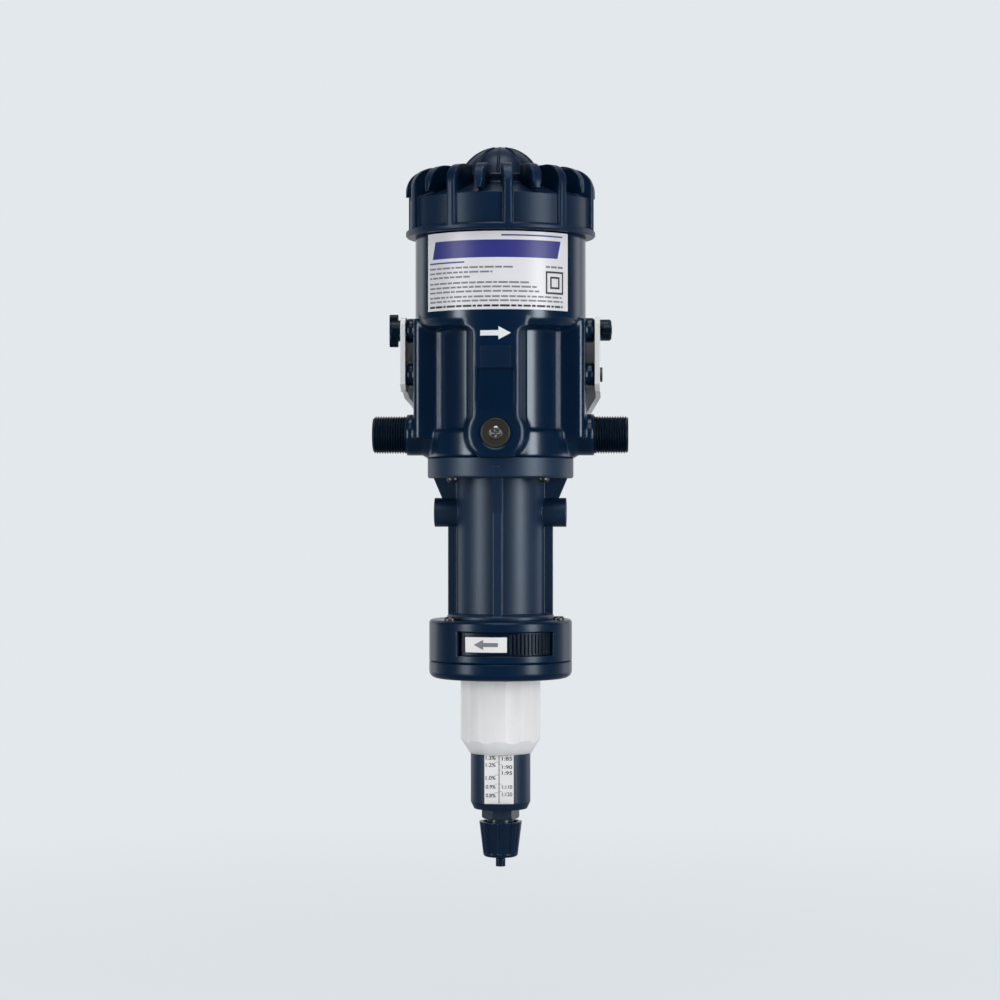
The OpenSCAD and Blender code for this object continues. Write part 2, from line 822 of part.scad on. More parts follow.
module side_pad() {
    pad_height = barrel_z + barrel_edge - body_pocket_floor;
    translate([0, 0, body_pocket_floor]) linear_extrude(pad_height) {
        translate([pad_root, -pad_half_width])
            square([pad_reach - pad_root - pad_edge, 2 * pad_half_width]);
        translate([pad_root, -pad_half_width + pad_edge])
            square([pad_reach - pad_root, 2 * (pad_half_width - pad_edge)]);
        for (side = [-1, 1]) {
            translate([pad_reach - pad_edge, side * (pad_half_width - pad_edge)]) circle(r = pad_edge);
        }
    }
    for (side = [-1, 1]) {
        translate([bead_x, side * pad_half_width, core_z]) cylinder(r = bead_radius, h = core_height);
    }
}

module port_collar() {
    translate([0, 0, port_z]) rotate([0, 90, 0]) {
        cylinder(r = collar_radius, h = collar_reach);
        translate([0, 0, collar_root])
            cylinder(r1 = collar_radius + 1.8 * collar_flare, r2 = collar_radius, h = 3 * collar_flare);
    }
}

module bracket_boss(z) {
    translate([barrel_radius - sink, 0, z]) rotate([0, 90, 0]) {
        cylinder(r = boss_radius, h = boss_rise + sink - boss_chamfer);
        translate([0, 0, boss_rise + sink - boss_chamfer])
            cylinder(r1 = boss_radius, r2 = boss_radius - boss_chamfer, h = boss_chamfer);
    }
}

module cylinder_liner() {
    color(steel) translate([0, 0, liner_foot_z])
        ring(liner_outer_radius, large_bore_radius, neck_top_z - liner_foot_z);
}

// Nipple on the +X side: spigot in the collar, then the male thread
module nipple() {
    color(dark_navy) translate([0, 0, port_z]) rotate([0, 90, 0]) difference() {
        union() {
            translate([0, 0, spigot_root]) cylinder(r = spigot_radius, h = collar_reach - spigot_root);
            translate([0, 0, collar_reach]) cylinder(r = port_radius, h = port_reach - collar_reach - 1);
            translate([0, 0, port_reach - 1]) cylinder(r1 = port_radius, r2 = port_radius - 1, h = 1);
        }
        translate([0, 0, spigot_root - past]) cylinder(r = port_bore_radius, h = port_reach);
    }
}

module inlet_nipple() {
    mirror([1, 0, 0]) nipple();
}

module outlet_nipple() {
    nipple();
}

module front_plug() {
    color("#2C2A26") translate([0, 0, port_z]) facing_front()
        translate([0, 0, barrel_radius - plug_depth]) difference() {
            cylinder(r = plug_radius, h = plug_depth);
            translate([0, 0, plug_depth - plug_sunk])
                cylinder(r = plug_screw_radius + free_gap, h = 2 * past);
            translate([0, 0, -past]) cylinder(r = plug_shank_radius, h = plug_depth + past);
        }
}

module plug_screw() {
    color(steel) translate([0, 0, port_z]) facing_front()
        translate([0, 0, barrel_radius - plug_depth]) difference() {
            union() {
                translate([0, 0, plug_depth - plug_sunk])
                    cylinder(r = plug_screw_radius, h = plug_crown);
                translate([0, 0, plug_depth - plug_sunk + plug_crown])
                    cylinder(r1 = plug_screw_radius, r2 = plug_screw_radius - plug_crown, h = plug_crown);
                translate([0, 0, -plug_shank_length + past])
                    cylinder(r = plug_shank_radius, h = plug_shank_length + plug_depth - plug_sunk);
            }
            for (turn = [0, 90]) {
                rotate([0, 0, turn]) translate([-plug_slot / 2, -0.5, plug_depth - plug_crown / 2])
                    cube([plug_slot, 1, plug_depth]);
            }
        }
}

// Bent sheet round the back: two arms and a back plate
module wall_bracket() {
    color(steel) difference() {
        intersection() {
            translate([0, 0, back_low_z]) linear_extrude(arm_top_z - back_low_z) bracket_plan();
            rotate([90, 0, 90]) translate([0, 0, -2 * bracket_outer])
                linear_extrude(4 * bracket_outer) bracket_side_outline();
            facing_front() translate([0, 0, -2 * wall_distance])
                linear_extrude(4 * wall_distance) bracket_back_outline();
        }
        both_sides() for (hole = arm_holes) {
            translate([bracket_inner - past, 0, hole[0]]) rotate([0, 90, 0])
                cylinder(r = hole[1], h = sheet + 2 * past);
        }
        for (side = [-1, 1], level = [-1, 1]) {
            translate([side * wall_hole_width / 2, wall_distance + past,
                wall_hole_z + level * wall_hole_height / 2]) facing_front()
                cylinder(r = wall_hole_radius, h = sheet + 2 * past);
        }
    }
}

// Plan of the sheet: straight arms, arms that lean inward, round corners, back plate
module bracket_plan() {
    difference() {
        bracket_outline(bend_outer, arm_front);
        bracket_outline(bend_radius, arm_front + past);
    }
}

// One face of the sheet, as the area that it encloses, for the bend radius on that face
module bracket_outline(bend, front) {
    arm_x = bracket_inner + bend - bend_radius;
    corner = [back_half_width, back_inner_y - bend_radius];
    both_sides() {
        polygon([
            [0, -front], [arm_x, -front], [arm_x, arm_straight], [corner[0] + bend, corner[1]],
            corner, [corner[0], corner[1] + bend], [0, corner[1] + bend]
        ]);
        translate(corner) circle(r = bend);
    }
}

// Side view of the sheet: depth across, height up
module bracket_side_outline() {
    polygon([
        [-arm_front, arm_low_z + corner_radius], [-arm_front + corner_radius, arm_low_z],
        [arm_front, arm_low_z], [back_inner_y - 2 * corner_radius, back_low_z],
        [wall_distance + past, back_low_z], [wall_distance + past, arm_top_z + past],
        [-arm_front + corner_radius, arm_top_z + past], [-arm_front + corner_radius, arm_top_z],
        [-arm_front, arm_top_z - corner_radius]
    ]);
}

// Front view of the sheet: rounds the back plate's lower corners
module bracket_back_outline() {
    reach = bracket_outer + past;
    difference() {
        translate([-reach, back_low_z - past]) square([2 * reach, arm_top_z - back_low_z + 2 * past]);
        translate([0, back_low_z + arch_rise - arch_radius]) circle(r = arch_radius);
    }
}

// Slotted screw that holds the right arm to the lower boss
module bracket_screw() {
    color(steel) translate([0, 0, lower_boss_z]) rotate([0, 90, 0]) difference() {
        union() {
            translate([0, 0, boss_reach - shank_depth])
                cylinder(r = small_screw_radius, h = shank_depth + sheet);
            translate([0, 0, bracket_outer]) cylinder(r = bracket_head_radius, h = bracket_head_height);
        }
        translate([-2 * bracket_head_radius, -0.5, bracket_outer + bracket_head_height / 2])
            cube([4 * bracket_head_radius, 1, bracket_head_height]);
    }
}

// Wing screw on the +X side: shank, hub and two wings
module wing_screw(turn) {
    hub_x = bracket_outer + free_gap;
    wing_x = hub_x + wing_lift;
    wing_height = wing_hub_height - wing_lift + free_gap;
    end = wing_span / 2 - wing_thickness / 2;
    color(dark_navy) translate([0, 0, upper_boss_z]) rotate([0, 90, 0]) rotate([0, 0, turn]) {
        translate([0, 0, boss_reach - shank_depth])
            cylinder(r = wing_shank_radius, h = hub_x - boss_reach + shank_depth + past);
        translate([0, 0, hub_x]) cylinder(r = wing_hub_radius, h = wing_hub_height - wing_edge);
        translate([0, 0, hub_x + wing_hub_height - wing_edge])
            cylinder(r1 = wing_hub_radius, r2 = wing_hub_radius - wing_edge, h = wing_edge);
        translate([-end, -wing_thickness / 2, wing_x]) cube([2 * end, wing_thickness, wing_height]);
        for (side = [-1, 1]) {
            translate([side * end, 0, wing_x]) cylinder(r = wing_thickness / 2, h = wing_height);
        }
    }
}

module wing_screw_left() {
    mirror([1, 0, 0]) wing_screw(0);
}

module wing_screw_right() {
    wing_screw(90);
}

// Injector body: flange, tube, ribs with gussets, side bosses, foot ring
module injector_body() {
    color(grained_navy) difference() {
        union() {
            rotate_extrude() injector_outline();
            for (i = [0 : 3]) {
                at(i * 90) radial_web(rib_width) polygon([
                    [injector_radius - 3, housing_top_z], [rib_reach, housing_top_z],
                    [rib_reach, flange_z - gusset_height], [gusset_reach, flange_z + 1],
                    [injector_radius - 3, flange_z + 1]
                ]);
            }
            both_sides() translate([0, 0, flange_z - gusset_height]) rotate([0, 90, 0]) {
                cylinder(r = side_boss_radius, h = side_boss_reach);
            }
        }
        translate([0, 0, injector_spigot_z - past]) cylinder(r = injector_bore_radius,
            h = parting_z - injector_spigot_z + 2 * past);
        both_sides() translate([side_boss_reach - dish_depth, 0, flange_z - gusset_height])
            rotate([0, 90, 0]) cylinder(r = side_boss_radius - dish_rim, h = 2 * dish_depth);
        for (i = [0 : 3]) {
            at(45 + i * 90) translate([0, -flange_screw_circle, flange_z - past])
                cylinder(r = small_screw_radius, h = flange_height + 2 * past);
        }
        translate([0, 0, parting_z]) oring(flange_seal_radius, seal_radius + eps);
    }
}

module injector_outline() {
    polygon([
        [0, injector_spigot_z], [injector_radius, injector_spigot_z], [injector_radius, housing_top_z],
        [foot_ring_radius, housing_top_z], [foot_ring_radius, housing_top_z + foot_ring_height - 1],
        [foot_ring_radius - 1, housing_top_z + foot_ring_height],
        [injector_radius, housing_top_z + foot_ring_height + 1], [injector_radius, flange_z],
        [flange_radius - 1, flange_z], [flange_radius, flange_z + 1],
        [flange_radius, parting_z], [0, parting_z]
    ]);
}

module flange_seal() {
    color(rubber) translate([0, 0, parting_z]) oring(flange_seal_radius, seal_radius);
}

// Pan-head screw with its head below the seat
module pan_screw(head_radius, head_height, shank_radius, shank_length) {
    translate([0, 0, -head_height / 2]) cylinder(r = head_radius, h = head_height / 2);
    translate([0, 0, -head_height])
        cylinder(r1 = head_radius - 1, r2 = head_radius, h = head_height / 2);
    cylinder(r = shank_radius, h = shank_length);
}

module flange_screws() {
    color(steel) for (i = [0 : 3]) {
        at(45 + i * 90) translate([0, -flange_screw_circle, flange_z])
            pan_screw(flange_screw_head, flange_head_height, small_screw_radius,
                flange_height + flange_screw_depth - past);
    }
}

// Adjuster housing: a cup turned over, with the window in its wall
module adjuster_housing() {
    color(navy) difference() {
        union() {
            difference() {
                rotate_extrude() housing_outline();
                translate([0, 0, split_z - past]) cylinder(r = cavity_radius,
                    h = housing_height - housing_top + past);
            }
            for (turn = housing_screw_turn) {
                at(turn) housing_boss();
            }
        }
        translate([0, 0, split_z]) cylinder(r = injector_radius + eps, h = housing_height + past);
        translate([0, 0, window_foot])
            sector(housing_radius + past, cavity_radius - past, window_height, window_left, window_right);
        for (turn = housing_screw_turn) {
            at(turn) translate([0, -housing_screw_circle, split_z - past])
                cylinder(r = housing_screw_radius, h = housing_height + 2 * past);
        }
    }
}

module housing_outline() {
    difference() {
        translate([0, split_z]) square([housing_radius, housing_height]);
        translate([housing_radius - housing_edge, housing_top_z - housing_edge])
            square(housing_edge + past);
        translate([housing_radius - 0.5, split_z - past]) square([past, past + 0.5]);
    }
    translate([housing_radius - housing_edge, housing_top_z - housing_edge]) circle(r = housing_edge);
}

module housing_boss() {
    intersection() {
        translate([0, -housing_screw_circle, split_z])
            cylinder(r = housing_boss_radius, h = housing_height - past);
        cylinder(r = housing_radius - 1, h = housing_top_z);
    }
}

// Lower cover with the rounded edge, and the ledge that carries the nut
module housing_cover() {
    color(navy) difference() {
        rotate_extrude() {
            difference() {
                translate([0, base_foot]) square([housing_radius, base_height]);
                translate([housing_radius - base_edge, base_foot - past])
                    square([base_edge + past, base_edge + past]);
                translate([housing_radius - 0.5, split_z - 0.5]) square(past);
            }
            translate([housing_radius - base_edge, base_foot + base_edge]) circle(r = base_edge);
            translate([0, split_z - past])
                square([nut_flange_radius + 2, nut_flange_z - split_z + past - free_gap]);
        }
        translate([0, 0, base_foot - past]) cylinder(r = nut_radius + running_gap, h = housing_height);
        for (turn = housing_screw_turn) {
            at(turn) translate([0, -housing_screw_circle, split_z - housing_screw_reach - 2 * past])
                cylinder(r = housing_screw_radius, h = base_height);
        }
    }
}

module housing_screws() {
    color(steel) for (turn = housing_screw_turn) {
        at(turn) translate([0, -housing_screw_circle, housing_top_z]) mirror([0, 0, 1])
            pan_screw(housing_screw_head, housing_head_height, housing_screw_radius,
                housing_height + housing_screw_reach);
    }
}

// Lock slider: a curved rail inside the wall, with its face in the window
module lock_slider() {
    rail_foot = split_z + free_gap;
    rail_top = housing_top_z - housing_top - free_gap;
    face_foot = window_foot + free_gap;
    face_height = window_height - 2 * free_gap;
    color(dark_navy) difference() {
        union() {
            translate([0, 0, rail_foot]) sector(slider_rail_radius, slider_inner_radius,
                rail_top - rail_foot, slider_left - slider_tail, slider_right + slider_margin);
            translate([0, 0, face_foot]) sector(slider_radius, slider_inner_radius + 1, face_height,
                slider_left, slider_right);
            translate([0, 0, nut_flange_z + pawl_inset])
                sector(slider_inner_radius + 1, nut_flange_radius + free_gap,
                    nut_flange_height - 2 * pawl_inset,
                    slider_split - pawl_half_angle, slider_split + pawl_half_angle);
            for (i = [0 : pad_ridges - 1]) {
                at(slider_split + 2 + i * (slider_right - slider_split - 3.6) / (pad_ridges - 1))
                    translate([-ridge_width / 2, -slider_radius - ridge_height, face_foot + ridge_inset])
                        cube([ridge_width, ridge_height + 2, face_height - 2 * ridge_inset]);
            }
        }
        translate([0, 0, face_foot + plate_lift]) sector(slider_radius + past, slider_radius - plate_recess,
            plate_height, slider_left + plate_margin, slider_split - plate_margin);
    }
}

// Thin white plate let into the slider's face
module lock_plate() {
    color(white) translate([0, 0, window_foot + free_gap + plate_lift + eps])
        sector(slider_radius - plate_sunk, slider_radius - plate_recess, plate_height - 2 * eps,
            slider_left + plate_margin + eps, slider_split - plate_margin - eps);
}

// Spring between the slider's end and the housing's screw boss
module lock_spring() {
    start = slider_left - slider_tail;
    stop = housing_screw_turn[0] + asin(housing_boss_radius / housing_screw_circle);
    circle = housing_screw_circle - 1;
    half = (circle - spring_coil) * tan((start - stop) / 2) - spring_wire - free_gap;
    color(steel) at((start + stop) / 2) translate([half, -circle, nut_flange_z + sink])
        rotate([0, -90, 0]) coil(spring_coil, spring_wire, 2 * half / spring_turns, spring_turns);
}

// Adjusting nut: lobed grip, chamfered foot, toothed flange inside the housing
module adjusting_nut() {
    color(white) difference() {
        rotate_extrude() polygon([
            [nut_bore_radius, nut_foot], [nut_foot_radius, nut_foot],
            [nut_radius - 0.6, nut_foot + nut_chamfer - 0.9], [nut_radius, nut_foot + nut_chamfer],
            [nut_radius, nut_flange_z], [nut_flange_radius, nut_flange_z],
            [nut_flange_radius, nut_neck_top_z], [nut_bore_radius, nut_neck_top_z]
        ]);
        for (i = [0 : nut_lobes - 1]) {
            at(2 + (i + 0.5) * 360 / nut_lobes)
                translate([0, -(nut_radius - flute_depth + flute_radius), nut_foot - past])
                    cylinder(r = flute_radius, h = base_foot - nut_foot - 1);
        }
        for (i = [0 : nut_notches - 1]) {
            at(i * 360 / nut_notches) translate([0, -nut_flange_radius - 0.4, nut_flange_z - past])
                cylinder(r = notch_radius, h = nut_flange_height + 2 * past);
        }
    }
}

// Dosing sleeve: a tube with a floor, a chamfered foot and a front flat for the scale
module dosing_sleeve() {
    color(dark_navy) difference() {
        rotate_extrude() polygon([
            [neck_radius, sleeve_foot], [sleeve_foot_radius, sleeve_foot],
            [sleeve_radius, sleeve_foot + sleeve_foot_chamfer], [sleeve_radius, sleeve_top_z],
            [sleeve_bore_radius, sleeve_top_z], [sleeve_bore_radius, sleeve_foot + sleeve_floor],
            [neck_radius, sleeve_foot + sleeve_floor]
        ]);
        translate([-scale_width / 2, -flat_y - sleeve_radius, flat_foot_z])
            cube([scale_width, sleeve_radius, flat_length]);
        translate([0, 0, sleeve_top_z - sleeve_groove_drop])
            ring(sleeve_radius + past, sleeve_radius - sleeve_groove_depth, sleeve_groove_height);
    }
}

module scale_strip() {
    width = scale_width - 2 * running_gap;
    color(white) translate([-width / 2, -flat_y - scale_thickness, flat_foot_z + running_gap])
        cube([width, scale_thickness, flat_length - 2 * running_gap]);
}

module sleeve_seal() {
    color(rubber) translate([0, 0, sleeve_top_z - sleeve_groove_drop + running_gap])
        ring(sleeve_radius + running_gap / 2, sleeve_radius - sleeve_groove_depth,
            sleeve_groove_height - 2 * running_gap);
}

// Valve seat: hexagon, threaded neck for the hose nut, spigot in the sleeve's floor
module valve_seat() {
    color(dark_navy) difference() {
        union() {
            rotate([0, 0, hex_turn]) intersection() {
                translate([0, 0, hex_lift]) cylinder(r = hex_radius, h = hex_height, $fn = 6);
                translate([0, 0, hex_lift - 4]) cylinder(r1 = hex_radius - 5, r2 = hex_radius + 6, h = 11);
            }
            translate([0, 0, neck_foot_z]) cylinder(r = neck_radius, h = spigot_top_z - neck_foot_z);
        }
        translate([0, 0, neck_foot_z - past]) cylinder(r = valve_way_radius, h = valve_seat_z);
        translate([0, 0, valve_seat_z]) cylinder(r = valve_well_radius, h = spigot_top_z);
    }
}

module valve_oring() {
    color(rubber) translate([0, 0, sleeve_foot + sleeve_floor])
        ring(neck_radius + 2, neck_radius, 2);
}

module valve_cage() {
    color(dark_navy) translate([0, 0, cage_z]) difference() {
        cylinder(r = valve_well_radius, h = cage_height);
        translate([0, 0, -past]) cylinder(r = poppet_stem_radius + running_gap, h = cage_height + 2 * past);
        for (i = [0 : 3]) {
            rotate([0, 0, i * 90]) translate([4.2, 0, -past]) cylinder(r = 1.3, h = cage_height + 2 * past);
        }
    }
}

module suction_poppet() {
    color(white) {
        translate([0, 0, poppet_z]) cylinder(r = poppet_radius, h = poppet_height);
        translate([0, 0, poppet_z])
            cylinder(r = poppet_stem_radius, h = spigot_top_z + poppet_stem_past - poppet_z);
    }
}

module suction_spring() {
    foot = poppet_z + poppet_height + spring_wire;
    color(steel) translate([0, 0, foot])
        coil(valve_spring_radius, spring_wire, (cage_z - spring_wire - eps - foot) / spring_turns,
            spring_turns);
}

// Hose barb: a plain tip, a narrow neck and a stem in the valve seat
module hose_barb() {
    color(dark_navy) difference() {
        union() {
            cylinder(r = barb_radius, h = barb_tip);
            translate([0, 0, barb_tip]) cylinder(r1 = barb_radius, r2 = barb_neck_radius, h = 1);
            translate([0, 0, barb_tip]) cylinder(r = barb_neck_radius, h = neck_foot_z - barb_tip);
            translate([0, 0, neck_foot_z - 2]) cylinder(r = neck_radius - 1, h = 2);
            translate([0, 0, neck_foot_z]) cylinder(r = valve_way_radius, h = barb_top_z - neck_foot_z);
        }
        translate([0, 0, -past]) cylinder(r = barb_bore_radius, h = barb_top_z + 2 * past);
    }
}

// Hose nut: a fluted conical cup with a thread low inside and an open top
module hose_nut() {
    top = hose_nut_lift + hose_nut_height;
    color(dark_navy) difference() {
        rotate_extrude() {
            difference() {
                polygon([
                    [hose_hole_radius, hose_nut_lift],
                    [hose_nut_foot_radius - hose_nut_edge, hose_nut_lift],
                    [hose_nut_foot_radius, hose_nut_lift + hose_nut_edge],
                    [hose_nut_top_radius, top], [cup_inner_radius, top], [cup_inner_radius, thread_top_z],
                    [neck_radius + running_gap, thread_top_z],
                    [neck_radius + running_gap, hose_nut_lift + 2], [hose_hole_radius, hose_nut_lift + 2]
                ]);
            }
            intersection() {
                translate([hose_nut_foot_radius - hose_nut_edge, hose_nut_lift + hose_nut_edge])
                    circle(r = hose_nut_edge);
                translate([neck_radius + running_gap, 0]) square([hose_nut_top_radius, top]);
            }
        }
        for (i = [0 : hose_nut_flutes - 1]) {
            at(i * 360 / hose_nut_flutes)
                translate([0, -hose_nut_foot_radius - hose_flute_offset, hose_nut_lift + hose_nut_edge])
                    rotate([hose_nut_lean, 0, 0]) cylinder(r = hose_flute_radius, h = 2 * hose_nut_height);
        }
    }
}

// Motor piston: wide deck, narrow skirt, web for the plunger, posts for the toggles
module motor_piston() {
    color("#2E3A46") difference() {
        union() {
            rotate_extrude() piston_outline();
            for (side = [-1, 1], cheek = [-1, 1]) {
                translate([side * toggle_pivot - post_width / 2,
                    cheek * (pin_boss_width / 2 + free_gap + post_thickness / 2) - post_thickness / 2,
                    deck_top_z - past])
                    cube([post_width, post_thickness, lever_z - deck_top_z + past + pin_boss_radius + 1]);
            }
            translate([0, 0, web_z]) linear_extrude(height = web_height) web_outline();
        }
        translate([0, 0, deck_z - past]) cylinder(r = trip_radius + running_gap, h = 3 * hub_height);
        translate([0, 0, skirt_z]) cylinder(r = plunger_rod_radius, h = web_height + 3 * past);
        for (i = [0 : 3]) {
            at(45 + i * 90) translate([0, -valve_port_circle, deck_z - past])
                cylinder(r = valve_port_radius, h = deck_height + 2 * past);
        }
        for (side = [-1, 1]) {
            translate([side * toggle_pivot, pin_half + past, lever_z]) facing_front()
                cylinder(r = pin_radius, h = 2 * (pin_half + past));
        }
    }
}

module web_outline() {
    circle(r = web_hub_radius);
    for (i = [0 : 2]) {
        rotate(90 + i * 120) translate([0, -web_arm_width / 2]) square([skirt_inner + 1, web_arm_width]);
    }
}

module piston_outline() {
    difference() {
        union() {
            translate([0, deck_z]) square([deck_radius, deck_height]);
            translate([skirt_inner, skirt_z]) square([skirt_wall, deck_z - skirt_z + 1]);
            translate([0, deck_z]) square([hub_radius, deck_height + hub_height]);
        }
        translate([deck_radius - ring_depth, deck_z + ring_height]) square([2 * ring_depth, ring_height]);
        translate([skirt_outer - ring_depth, skirt_z + ring_height]) square([2 * ring_depth, ring_height]);
    }
}

module deck_seal() {
    color(rubber) translate([0, 0, deck_z + ring_height + eps])
        ring(deck_radius + running_gap / 2, deck_radius - ring_depth, ring_height - 2 * eps);
}

module skirt_seal() {
    color(rubber) translate([0, 0, skirt_z + ring_height + eps])
        ring(skirt_outer + running_gap / 2, skirt_outer - ring_depth, ring_height - 2 * eps);
}

// Plunger: a head in the sleeve on a long rod that the piston's web holds
module plunger() {
    color(steel) difference() {
        union() {
            translate([0, 0, plunger_foot_z]) cylinder(r = plunger_head_radius, h = plunger_head_height);
            translate([0, 0, plunger_foot_z])
                cylinder(r = plunger_rod_radius, h = plunger_top_z - plunger_foot_z);
            translate([0, 0, web_z + web_height]) cylinder(r = plunger_nut_radius, h = plunger_nut_height);
        }
        translate([0, 0, plunger_foot_z + plunger_groove_lift])
            ring(plunger_head_radius + past, plunger_head_radius - ring_depth, ring_height);
    }
}

module plunger_seal() {
    color(rubber) translate([0, 0, plunger_foot_z + plunger_groove_lift + eps])
        ring(plunger_head_radius + running_gap / 2, plunger_head_radius - ring_depth,
            ring_height - 2 * eps);
}

// Valve plate: hub on the piston, four arms, a ring over the ports, two lever fingers
module valve_plate() {
    color(bronze) {
        translate([0, 0, plate_z]) {
            ring(plate_ring_outer, plate_ring_inner, plate_thickness);
            ring(plate_hub_radius, hub_radius + running_gap, plate_hub_height);
            for (i = [0 : 3]) {
                at(45 + i * 90) translate([-2.5, -plate_ring_inner - 1, 0])
                    cube([5, plate_ring_inner + 1.5 - plate_hub_radius, plate_thickness]);
            }
        }
        for (side = [-1, 1]) {
            difference() {
                translate([side * finger_x - finger_half, -finger_width / 2, plate_z])
                    cube([2 * finger_half, finger_width, lever_z + lever_slot / 2 + 2 - plate_z]);
                translate([side * finger_x - 2 * finger_half, -finger_window / 2, lever_z - lever_slot / 2])
                    cube([4 * finger_half, finger_window, lever_slot]);
            }
        }
    }
}

module valve_pads() {
    color(rubber) for (i = [0 : 3]) {
        at(45 + i * 90) translate([0, -valve_port_circle, plate_z - pad_thickness])
            cylinder(r = pad_radius, h = pad_thickness);
    }
}

// Trip rod with the two collars that the toggles sit between
module trip_rod() {
    color(steel) {
        translate([0, 0, trip_foot_z]) cylinder(r = trip_radius, h = trip_top_z - trip_foot_z);
        for (z = [lever_z - lever_slot / 2 - collar_thickness, lever_z + lever_slot / 2]) {
            translate([0, 0, z]) cylinder(r = collar_disc_radius, h = collar_thickness);
        }
    }
}

// Toggle on the +X side: a lever on its pin, with a round tip at each end
module toggle() {
    tip = lever_thickness / 2;
    color(bronze) translate([toggle_pivot, 0, lever_z]) difference() {
        union() {
            translate([-lever_arm + tip, -lever_width / 2, -tip])
                cube([2 * (lever_arm - tip), lever_width, lever_thickness]);
            for (end = [-1, 1]) {
                translate([end * (lever_arm - tip), lever_width / 2, 0]) facing_front()
                    cylinder(r = tip, h = lever_width);
            }
            translate([0, pin_boss_width / 2, 0]) facing_front()
                cylinder(r = pin_boss_radius, h = pin_boss_width);
        }
        translate([0, pin_boss_width, 0]) facing_front()
            cylinder(r = pin_radius + running_gap, h = 2 * pin_boss_width);
    }
}

module toggle_left() {
    mirror([1, 0, 0]) toggle();
}

module toggle_right() {
    toggle();
}

module toggle_pins() {
    color(steel) for (side = [-1, 1]) {
        translate([side * toggle_pivot, pin_half, lever_z]) facing_front()
            cylinder(r = pin_radius, h = 2 * pin_half);
    }
}

motor_cover();
vent_screw();
cover_seal();
motor_body();
cylinder_liner();
inlet_nipple();
outlet_nipple();
front_plug();
plug_screw();
wall_bracket();
bracket_screw();
wing_screw_left();
wing_screw_right();
injector_body();
flange_seal();
flange_screws();
adjuster_housing();
housing_cover();
housing_screws();
lock_slider();
lock_plate();
lock_spring();
adjusting_nut();
dosing_sleeve();
scale_strip();
sleeve_seal();
valve_seat();
valve_oring();
valve_cage();
suction_poppet();
suction_spring();
hose_barb();
hose_nut();
motor_piston();
deck_seal();
skirt_seal();
plunger();
plunger_seal();
valve_plate();
valve_pads();
trip_rod();
toggle_left();
toggle_right();
toggle_pins();
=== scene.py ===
# %% [markdown]
# # A water-driven dosing pump
# The pump hangs on a wall bracket. Water drives a piston under the ribbed navy cover, and
# the piston draws a second liquid up through the hose barb at the very bottom.
# The solid pieces come finished in shape from the imported frame. This lesson gives them
# their plastics and metals, and adds what is cut, printed or glued on them: the threads,
# the label, the arrows, the panel's field and ramp, the scale with its numbers, the rim of
# the front plug and two dots on the flange. Two coil springs take the place of rigid ones.

# %% Load the frame
import bpy
import math
import numpy as np
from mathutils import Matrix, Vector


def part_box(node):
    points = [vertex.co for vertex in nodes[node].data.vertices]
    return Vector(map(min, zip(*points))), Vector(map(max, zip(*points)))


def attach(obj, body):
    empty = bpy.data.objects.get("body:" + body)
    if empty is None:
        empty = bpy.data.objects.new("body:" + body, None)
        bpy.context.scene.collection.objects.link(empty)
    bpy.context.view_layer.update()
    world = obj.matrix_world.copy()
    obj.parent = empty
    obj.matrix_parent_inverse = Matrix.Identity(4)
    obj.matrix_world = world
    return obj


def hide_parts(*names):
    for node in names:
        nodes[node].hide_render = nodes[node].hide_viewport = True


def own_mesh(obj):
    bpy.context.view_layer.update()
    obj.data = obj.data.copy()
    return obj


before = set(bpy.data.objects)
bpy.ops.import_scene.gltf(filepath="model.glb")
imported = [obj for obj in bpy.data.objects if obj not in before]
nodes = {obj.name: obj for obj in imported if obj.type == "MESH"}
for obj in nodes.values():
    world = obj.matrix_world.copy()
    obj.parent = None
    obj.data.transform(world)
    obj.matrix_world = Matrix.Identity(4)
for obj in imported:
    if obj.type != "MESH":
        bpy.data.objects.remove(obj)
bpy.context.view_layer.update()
MM = 0.001


# %% [markdown]
# ## The camera
# The photograph looks at the pump from the front, level, a little from the outlet's side.
# The edges of its discs open up slowly with height, which a long lens gives: 90 mm on a
# 36 mm sensor, 1.76 m from the pump's axis. At that distance a picture 1000 dots wide shows
# 1.42 dots for each millimetre on the axis.

# %% Camera
VIEW_TURN = math.radians(3.4)
VIEW_DISTANCE = 1.7606
VIEW_HEIGHT = 0.2577
LENS_MM, SENSOR_MM = 90.0, 36.0
# The pump's axis stands a hair aside of the picture's middle
SIDE_SHIFT = -0.0006

camera_data = bpy.data.cameras.new("camera")
camera_data.lens = LENS_MM
camera_data.sensor_width = SENSOR_MM
camera_data.shift_x = SIDE_SHIFT
camera = bpy.data.objects.new("camera", camera_data)
view_x, view_y = VIEW_DISTANCE * math.sin(VIEW_TURN), -VIEW_DISTANCE * math.cos(VIEW_TURN)
camera.location = (view_x, view_y, VIEW_HEIGHT)
camera.rotation_euler = (math.pi / 2, 0.0, VIEW_TURN)
bpy.context.scene.collection.objects.link(camera)
bpy.context.scene.camera = camera
bpy.context.scene.view_settings.view_transform = "Standard"
print("camera at", [round(v, 3) for v in camera.location])

# %% [markdown]
# ## Two helpers for every finish
# Colours are chosen as they look on a screen, so they are written as sRGB hex values. The
# shader works with light, which adds up, so one function turns each value to linear.
# A finish is a small tree of nodes. One function adds a node, sets what is a number and
# links what is another node's output.

# %% Colour and node helpers
def linear(hex_colour):
    """An sRGB hex value as linear RGB and alpha: c / 12.92 when dark, else a power of 2.4."""
    code = hex_colour.lstrip("#")
    srgb = np.array([int(code[i:i + 2], 16) for i in (0, 2, 4)]) / 255.0
    light = np.where(srgb <= 0.04045, srgb / 12.92, ((srgb + 0.055) / 1.055) ** 2.4)
    return (*[float(c) for c in light], 1.0)


